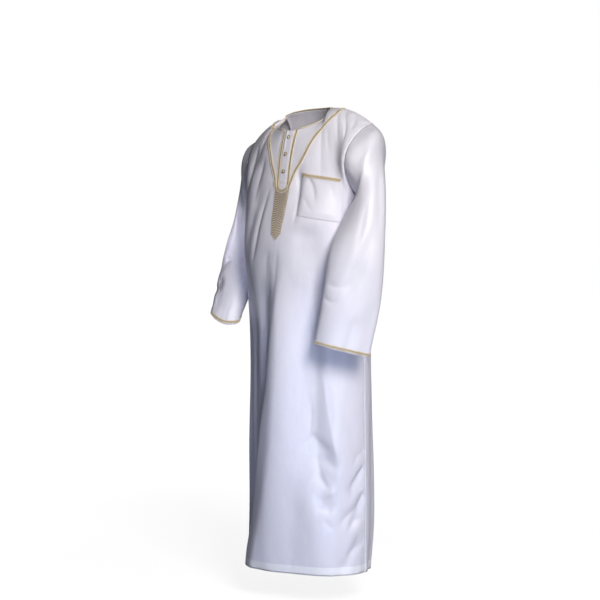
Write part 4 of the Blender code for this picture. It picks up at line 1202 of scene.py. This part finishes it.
def make_tie_panel(front):
    """The tie-shaped panel: a net of crossing cords over a dark ground, with foil sequins."""
    hollow = PLACKET_HALF_WIDTHS[0] + BRAID_WIDTH + 3 * BRAID_GAP
    heights, half_widths = np.array(TIE_HALF_WIDTHS).T

    def place(u, part):
        """Places on the panel, u from -1 to 1 across it and part from 0 to 1 down it."""
        top = PLACKET_HUB - np.sqrt(np.maximum(hollow**2 - (u * half_widths[-1]) ** 2, 0.0))
        height = top + (TIE_TIP + np.abs(u) * TIE_POINT - top) * part
        half_width = np.interp(height, heights, half_widths)
        return front.front(u * half_width + TIE_LEAN * ease(part), height)

    rows, columns = TIE_FINENESS
    places = place(np.linspace(-1, 1, columns)[None], np.linspace(0, 1, rows)[:, None])
    facing = front.facing(places)
    surface = Cloth(places, facing)
    ground = cloth_piece(
        "tie_ground_cloth", "gold_braid", "tie_panel",
        places + facing * (LAY_GAP + GROUND_THICKNESS), facing, TIE_GROUND, GROUND_THICKNESS,
    )
    length = PLACKET_HUB - hollow - TIE_TIP
    done = np.linspace(0, 1, STRAND_POINTS)
    phase = done * length / (4 * STRAND_SWING)
    lift = LAY_GAP + GROUND_THICKNESS + CORD_RADIUS * 0.5
    paths = []
    for k in range(TIE_STRANDS):
        wave = (phase + k / TIE_STRANDS) % 1
        paths.append((place(STRAND_INSET * (4 * np.abs(wave - 0.5) - 1), done), STRAND_RADIUS))
    for hand in (-1, 1):
        side = place(hand * TIE_EDGE, done)
        foot = place(hand * np.linspace(0.93, 0.02, 14), 1.0)
        paths.append((np.concatenate([side, foot]), EDGE_RADIUS))
    cords = []
    for path, radius in paths:
        up = surface.facing(path)
        cords.append((path + up * lift, up, radius, False))
    net = cord_piece("tie_net_cords", "gold_braid", cords, TIE_CORD, sides=5)
    spots = []
    for row in range(int(phase[-1] * 2 * TIE_STRANDS)):
        part = np.interp((row + 0.5) / (2 * TIE_STRANDS), phase, done)
        shift = 0.5 if row % 2 else 0.0
        u = STRAND_INSET * (-1 + 4 * (np.arange(TIE_STRANDS // 2 + 1) + shift - 0.25) / TIE_STRANDS)
        spots.append(place(u[np.abs(u) < 0.9], part))
    spots = np.concatenate(spots)
    up = surface.facing(spots)
    down = np.broadcast_to([0.0, 0.0, -1.0], spots.shape)
    points, faces = beads(spots + up * (LAY_GAP + GROUND_THICKNESS), up, down, *SEQUIN_SIZE)
    foil = mesh_piece("tie_sequins", "gold_braid", points, faces, [SEQUIN], points[:, [0, 2]])


def make_pocket(front):
    """The patch pocket, a little full between its sewn edges, with the braid along its mouth."""
    top, bottom = np.array(POCKET_TOP), np.array(POCKET_BOTTOM)
    width, depth = POCKET_SIZE
    rows, columns = POCKET_FINENESS
    parts, us = np.linspace(0, 1, rows)[:, None], np.linspace(0, 1, columns)[None]
    sides = top + (bottom - top) * parts[..., None]
    x, z = ((sides[:, :1, k] + (sides[:, 1:, k] - sides[:, :1, k]) * us) for k in (0, 1))
    places = front.front(x, z)
    facing = front.facing(places)
    side, down = np.minimum(us, 1 - us) * width, parts * depth
    inside = ease(side / POCKET_EASE) * ease((depth - down) / POCKET_EASE)
    full = POCKET_FULLNESS * inside * (0.6 + 0.4 * ease(1 - down / 0.10))
    u, v = np.broadcast_arrays(us * width, -down)
    full = full + fold_height(POCKET_FOLDS, u, v, CREASE) * inside
    edge = np.minimum(side, depth - down)
    full = full - groove(POCKET_SEAM, edge - POCKET_SEAM_IN) + puckers(POCKET_PUCKERS, down, side, 1.0)
    at_edge = ease(edge / POCKET_SEAM_IN)
    mouth_hem = MOUTH_HEM[0] * ease((MOUTH_HEM[1] - down) / 0.001)
    stand = (RAISED_GAP + 0.0003) * (0.35 + 0.65 * at_edge) + 0.0003 + full + mouth_hem * at_edge
    outer = places + facing * stand[..., None]
    inner = places + facing * (RAISED_GAP * 0.4 + np.maximum(full, 0) * 0.9)[..., None]
    patch = cloth_piece("pocket_patch", "satin", "chest_pocket", outer, facing, SATIN, inner=inner)
    rim, rim_up = (
        np.concatenate([rows[4:-2, 1], rows[-3, 2:-2], rows[4:-2, -2][::-1]])
        for rows in (outer, facing)
    )
    points, faces = stitches(rim, rim_up, STITCH)
    thread = mesh_piece("pocket_stitches", "satin", points, faces, [THREAD])
    face = Cloth(outer, facing)
    below_mouth = (LAY_GAP + BRAID_WIDTH / 2) / np.linalg.norm(bottom[0] - top[0])
    left, right = top + (bottom - top) * below_mouth
    run = left + (right - left) * np.linspace(0.004, 0.996, 60)[:, None]
    path = face.onto(even_path(face.front(*run.T), BRAID_STEP))
    make_braid(
        "woven_pocket_braid", "pocket_braid", path, face.facing(path), 0.0003, knot=PALE_KNOT
    )


def make_buttons(placket):
    """Three shanked buttons: a pearl dome in a knurled gilt rim."""
    cosine, sine = (side[:, None] for side in circle(BUTTON_SIDES))
    notches = NOTCH_DEPTH * np.cos(np.arange(BUTTON_SIDES) * math.pi)[:, None]
    index = 1 + numbered(len(BUTTON_PROFILE), BUTTON_SIDES)
    last = 1 + index.size
    bottom = [[0, b, a] for a, b in zip(index[0], np.roll(index[0], -1))]
    top = [[last, a, b] for a, b in zip(index[-1], np.roll(index[-1], -1))]
    bands = quads(index, closed=True).tolist()
    gilt = np.arange(len(bands)) < RIM_BANDS * BUTTON_SIDES
    kinds = [1] * len(bottom) + gilt.tolist() + [0] * len(top)
    for count, height in enumerate(BUTTON_HEIGHTS, 1):
        place = placket.front(0.0, height)
        facing = placket.facing(place)
        aside = unit(np.cross(facing, [0.0, 0.0, 1.0]))
        spokes = cosine * aside + sine * np.cross(aside, facing)
        foot = place + facing * BUTTON_LIFT
        points = [foot[None]]
        for ring, (radius, rise) in enumerate(BUTTON_PROFILE):
            knurl = 1 + notches * (ring in KNURLED)
            points.append(foot + facing * rise + spokes * radius * BUTTON_RADIUS * knurl)
        points.append((foot + facing * BUTTON_CROWN)[None])
        mesh_piece(
            f"pearl_button_{count}", "pearl_button", np.concatenate(points), bottom + bands + top,
            [PEARL, GILT], kinds=kinds, node=f"button_{count}",
        )


# ---- neck, cuffs, seams and hems -----------------------------------------------------------

PLACKET_SHARE = 0.0953  # share of half a panel that the placket takes of the neckline
BINDING_REACH = (0.0030, 0.0011)  # half width and half thickness of the neck's edging
BINDING_ROUNDS, BINDING_SIDES = 12, 12
BINDING_WAVE = 0.0065
BINDING_STEP = 0.0008
BINDING_CORDS = (
    # place towards the neck, place outward, swing towards it, swing outward, radius
    (0.0, 0.0013, -0.0014, -0.0002, 0.0005),
    (0.0, 0.0013, 0.0014, 0.0002, 0.0005),
    (0.0029, 0.0, 0.0, 0.0, 0.0006),
    (-0.0026, 0.0008, 0.0, 0.0, 0.0006),
)
SEAM_RADIUS = {"body": 0.0009, "armhole": 0.0006}
SEAM_STEP = 0.006


def make_neck_binding(panels):
    """The narrow gold edging round the neckline, open where the placket stands."""
    parts = []
    for face, start, end, count in (
        (FRONT, PLACKET_SHARE, NECK_SHARE, 40), (BACK, NECK_SHARE, -NECK_SHARE, 90),
        (FRONT, -NECK_SHARE, -PLACKET_SHARE, 40),
    ):
        grid, normals = panels[face][:2]
        columns = (grid.shape[1] - 1) / 2 * (1 + np.linspace(start, end, count))
        whole = np.arange(grid.shape[1])
        top, below, up = (read_off(columns, whole, row) for row in (grid[-1], grid[-3], normals[-1]))
        parts.append(np.stack([top, unit(top - below), unit(up)]))
    parts = np.concatenate(parts, axis=1)
    apart = np.linalg.norm(np.diff(parts[0], axis=0), axis=1) > 1e-4
    edge, onward, facing = parts[:, np.concatenate([[True], apart])]
    for _ in range(BINDING_ROUNDS):
        onward[1:-1] = unit(onward[:-2] + 2 * onward[1:-1] + onward[2:])
        facing[1:-1] = unit(facing[:-2] + 2 * facing[1:-1] + facing[2:])
    section = np.stack(circle(BINDING_SIDES), axis=1) * BINDING_REACH
    centre = edge + onward * BINDING_REACH[0]
    ring = centre[:, None] + onward[:, None] * section[:, :1] + facing[:, None] * section[:, 1:]
    index = numbered(*ring.shape[:2])
    points = ring.reshape(-1, 3)
    faces = quads(index, closed=True).tolist() + [index[0][::-1].tolist(), index[-1].tolist()]
    a, b, c = points[index[5, 3]], points[index[5, 4]], points[index[6, 3]]
    if np.cross(b - a, c - a) @ (a - centre[5]) < 0:
        faces = [f[::-1] for f in faces]
    run = run_length(centre)
    uv = np.stack(np.broadcast_arrays(section[None, :, 0], run[:, None]), axis=-1).reshape(-1, 2)
    mesh_piece("neck_binding", "gold_braid", points, faces, [BRAID_GROUND], uv, node="neck_trim")
    path = even_path(centre, BINDING_STEP)
    length = np.linspace(0, run[-1], len(path))
    on, up = (unit(read_off(length, run, rows)) for rows in (onward, facing))
    phase = 2 * math.pi * round(run[-1] / BINDING_WAVE) * length[:, None] / run[-1]
    cords = []
    for forward, out, swing, lift, radius in BINDING_CORDS:
        cord = path + on * (forward + swing * np.sin(phase)) + up * (out + lift * np.cos(phase))
        cords.append((cord, up, radius, False))
    cord_piece("neck_binding_cords", "gold_braid", cords, BRAID_CORD)


CUFF_BRAID_HEIGHT = 0.008
CUFF_STITCH_HEIGHT = 0.0165


def up_from_cuff(grid):
    """Distance of each row of a sleeve above the cuff's own row, nearest first."""
    return np.cumsum(np.linalg.norm(np.diff(grid[::-1], axis=0), axis=2).mean(axis=1))


def make_cuff_braids(sleeves):
    for grid, normals, _, ending in sleeves.values():
        length = up_from_cuff(grid)
        row = int(np.searchsorted(length, CUFF_BRAID_HEIGHT))
        before = length[row - 1] if row else 0.0
        share = (CUFF_BRAID_HEIGHT - before) / (length[row] - before)
        path = grid[-1 - row] * (1 - share) + grid[-2 - row] * share
        path = even_path(path, BRAID_STEP, closed=True)
        facing = Cloth(grid[-12:], normals[-12:]).facing(path)
        name = "cuff_braid_" + ending
        make_braid(
            "woven_" + name, name, path, facing, LAY_GAP, CUFF_BRAID_WIDTH, closed=True, knot=PALE_KNOT
        )


def make_seams(panels, sleeves):
    """The closed seams at the sides, shoulders and armholes, and the stitched hems."""
    cords = []
    front = panels[FRONT][0]
    middle = (front.shape[1] - 1) // 2
    reach = round(NECK_SHARE * middle)
    lower, top = front[: PANEL_FINENESS[FRONT][1] + 1], front[-1]
    for edge in (lower[:, 0], lower[:, -1], top[: middle - reach + 1], top[middle + reach :]):
        path = even_path(edge, SEAM_STEP)
        up = unit(np.cross(np.gradient(path, axis=0), [0.0, 1.0, 0.0]))
        cords.append((path, up, SEAM_RADIUS["body"], False))
    for grid, normals, _, _ in sleeves.values():
        cords.append((grid[0], normals[0], SEAM_RADIUS["armhole"], True))
    seams = cord_piece("sewn_seams", "satin", cords, SATIN)
    sewn = []
    for face in (FRONT, BACK):
        grid, normals = panels[face][:2]
        row = int(np.argmin(np.abs(grid[:, grid.shape[1] // 2, 2] - HEM_HEIGHT - HEM_DEPTH)))
        sewn.append(stitches(grid[row], normals[row], HEM_STITCH))
    hem_thread = mesh_piece("hem_stitches", "satin", *joined(sewn), [THREAD])
    sewn = []
    for grid, normals, _, _ in sleeves.values():
        row = -2 - int(np.searchsorted(up_from_cuff(grid), CUFF_STITCH_HEIGHT))
        loop, up = (np.concatenate([rows[row], rows[row][:1]]) for rows in (grid, normals))
        sewn.append(stitches(loop, up, CUFF_STITCH))
    cuff_thread = mesh_piece("cuff_stitches", "satin", *joined(sewn), [THREAD])
    return seams, hem_thread, cuff_thread


# ---- studio --------------------------------------------------------------------------------

FLOOR_HEIGHT = -1.53
FLOOR_REACH = 30.0


def soft_light(name, azimuth, elevation, distance, aim, size, power, tint, spread=180):
    """An area light on a sphere round its aim."""
    lamp = bpy.data.lights.new(name, "AREA")
    lamp.shape = "RECTANGLE"
    lamp.size, lamp.size_y = size
    lamp.energy = power
    lamp.color = srgb(tint)[:3]
    lamp.spread = math.radians(spread)
    light = placed(name, lamp)
    azimuth, elevation = math.radians(azimuth), math.radians(elevation)
    level = math.cos(elevation)
    out = Vector((math.sin(azimuth) * level, -math.cos(azimuth) * level, math.sin(elevation)))
    light.location = Vector(aim) + out * distance
    light.rotation_euler = (-out).to_track_quat("-Z", "Y").to_euler()
    light.visible_camera = False


def make_floor():
    """A pale floor whose glow is painted light, standing in for studio light: a little under white near
    the robe, white farther away.
    """
    mesh = bpy.data.meshes.new("studio_floor")
    reach = (-FLOOR_REACH, FLOOR_REACH)
    mesh.from_pydata([(x, y, FLOOR_HEIGHT) for x in reach for y in reach], [], [(0, 2, 3, 1)])
    floor_glow, tree = new_finish("floor_painted_glow")
    place = add(tree, "TexCoord").outputs["Object"]
    far = add(tree, "VectorMath", {"operation": "LENGTH"}, {0: place}).outputs["Value"]
    # The emission is painted light on the floor, weaker near the robe and white farther off.
    finish_off(
        tree,
        {"Base Color": srgb("#9A9A9C"), "Roughness": 0.9, "Specular IOR Level": 0.0,
         "Emission Color": (1, 1, 1, 1)},
        {"Emission Strength": span(tree, far, 0.6, 3.2, 0.80, 1.0)},
    )
    mesh.materials.append(floor_glow)
    floor = placed("studio_floor", mesh)
    floor.visible_diffuse = False
    floor.visible_glossy = False


def make_sky():
    """Light from all round, brighter from the wearer's left, behind a plain white background."""
    world = bpy.data.worlds.new("studio")
    world.use_nodes = True
    sky = world.node_tree
    sky.nodes.clear()
    way = add(sky, "TexCoord").outputs["Generated"]
    to_left = add(sky, "SeparateXYZ", {}, {0: way}).outputs["X"]
    colours = {"data_type": "RGBA", RGBA_A: (0.02, 0.02, 0.024, 1), RGBA_B: (0.205, 0.205, 0.226, 1)}
    wash = add(sky, "Mix", colours, {0: span(sky, to_left, -0.9, 0.9)}).outputs[RGBA_OUT]
    seen = add(sky, "LightPath").outputs["Is Camera Ray"]
    white = {"data_type": "RGBA", RGBA_B: (1.0, 1.0, 1.0, 1)}
    colour = add(sky, "Mix", white, {0: seen, RGBA_A: wash}).outputs[RGBA_OUT]
    back = add(sky, "Background", {"Strength": 1.0}, {"Color": colour})
    add(sky, "OutputWorld", {}, {"Surface": back.outputs[0]})
    bpy.context.scene.world = world


def make_studio():
    make_floor()
    make_sky()
    soft_light("key_softbox", 52, 22, 3.2, (0.0, 0.0, -0.38), (1.1, 1.3), 82, "#FFFCF6")
    soft_light("skirt_fill", 34, -4, 3.2, (0.0, 0.0, -1.12), (1.2, 0.8), 2.1, "#C4D8FF", spread=36)
    soft_light(
        "sleeve_spot", -50, 12, 1.6, (-0.275, -0.02, -0.41), (0.20, 0.16), 0.060, "#F4F2FF", spread=8
    )
    bpy.context.scene.view_settings.view_transform = "Standard"
    bpy.context.scene.view_settings.look = "None"


# ---- build ---------------------------------------------------------------------------------


def main():
    make_studio()
    panels = make_panels()
    sleeves = make_sleeves()
    front = Cloth(*panels[FRONT][:2], plain=panels[FRONT][3])
    placket = make_placket(front)
    make_buttons(placket)
    make_chest_braids(front)
    make_tie_panel(front)
    make_pocket(front)
    make_neck_binding(panels)
    make_cuff_braids(sleeves)
    seams, hem_thread, cuff_thread = make_seams(panels, sleeves)


main()
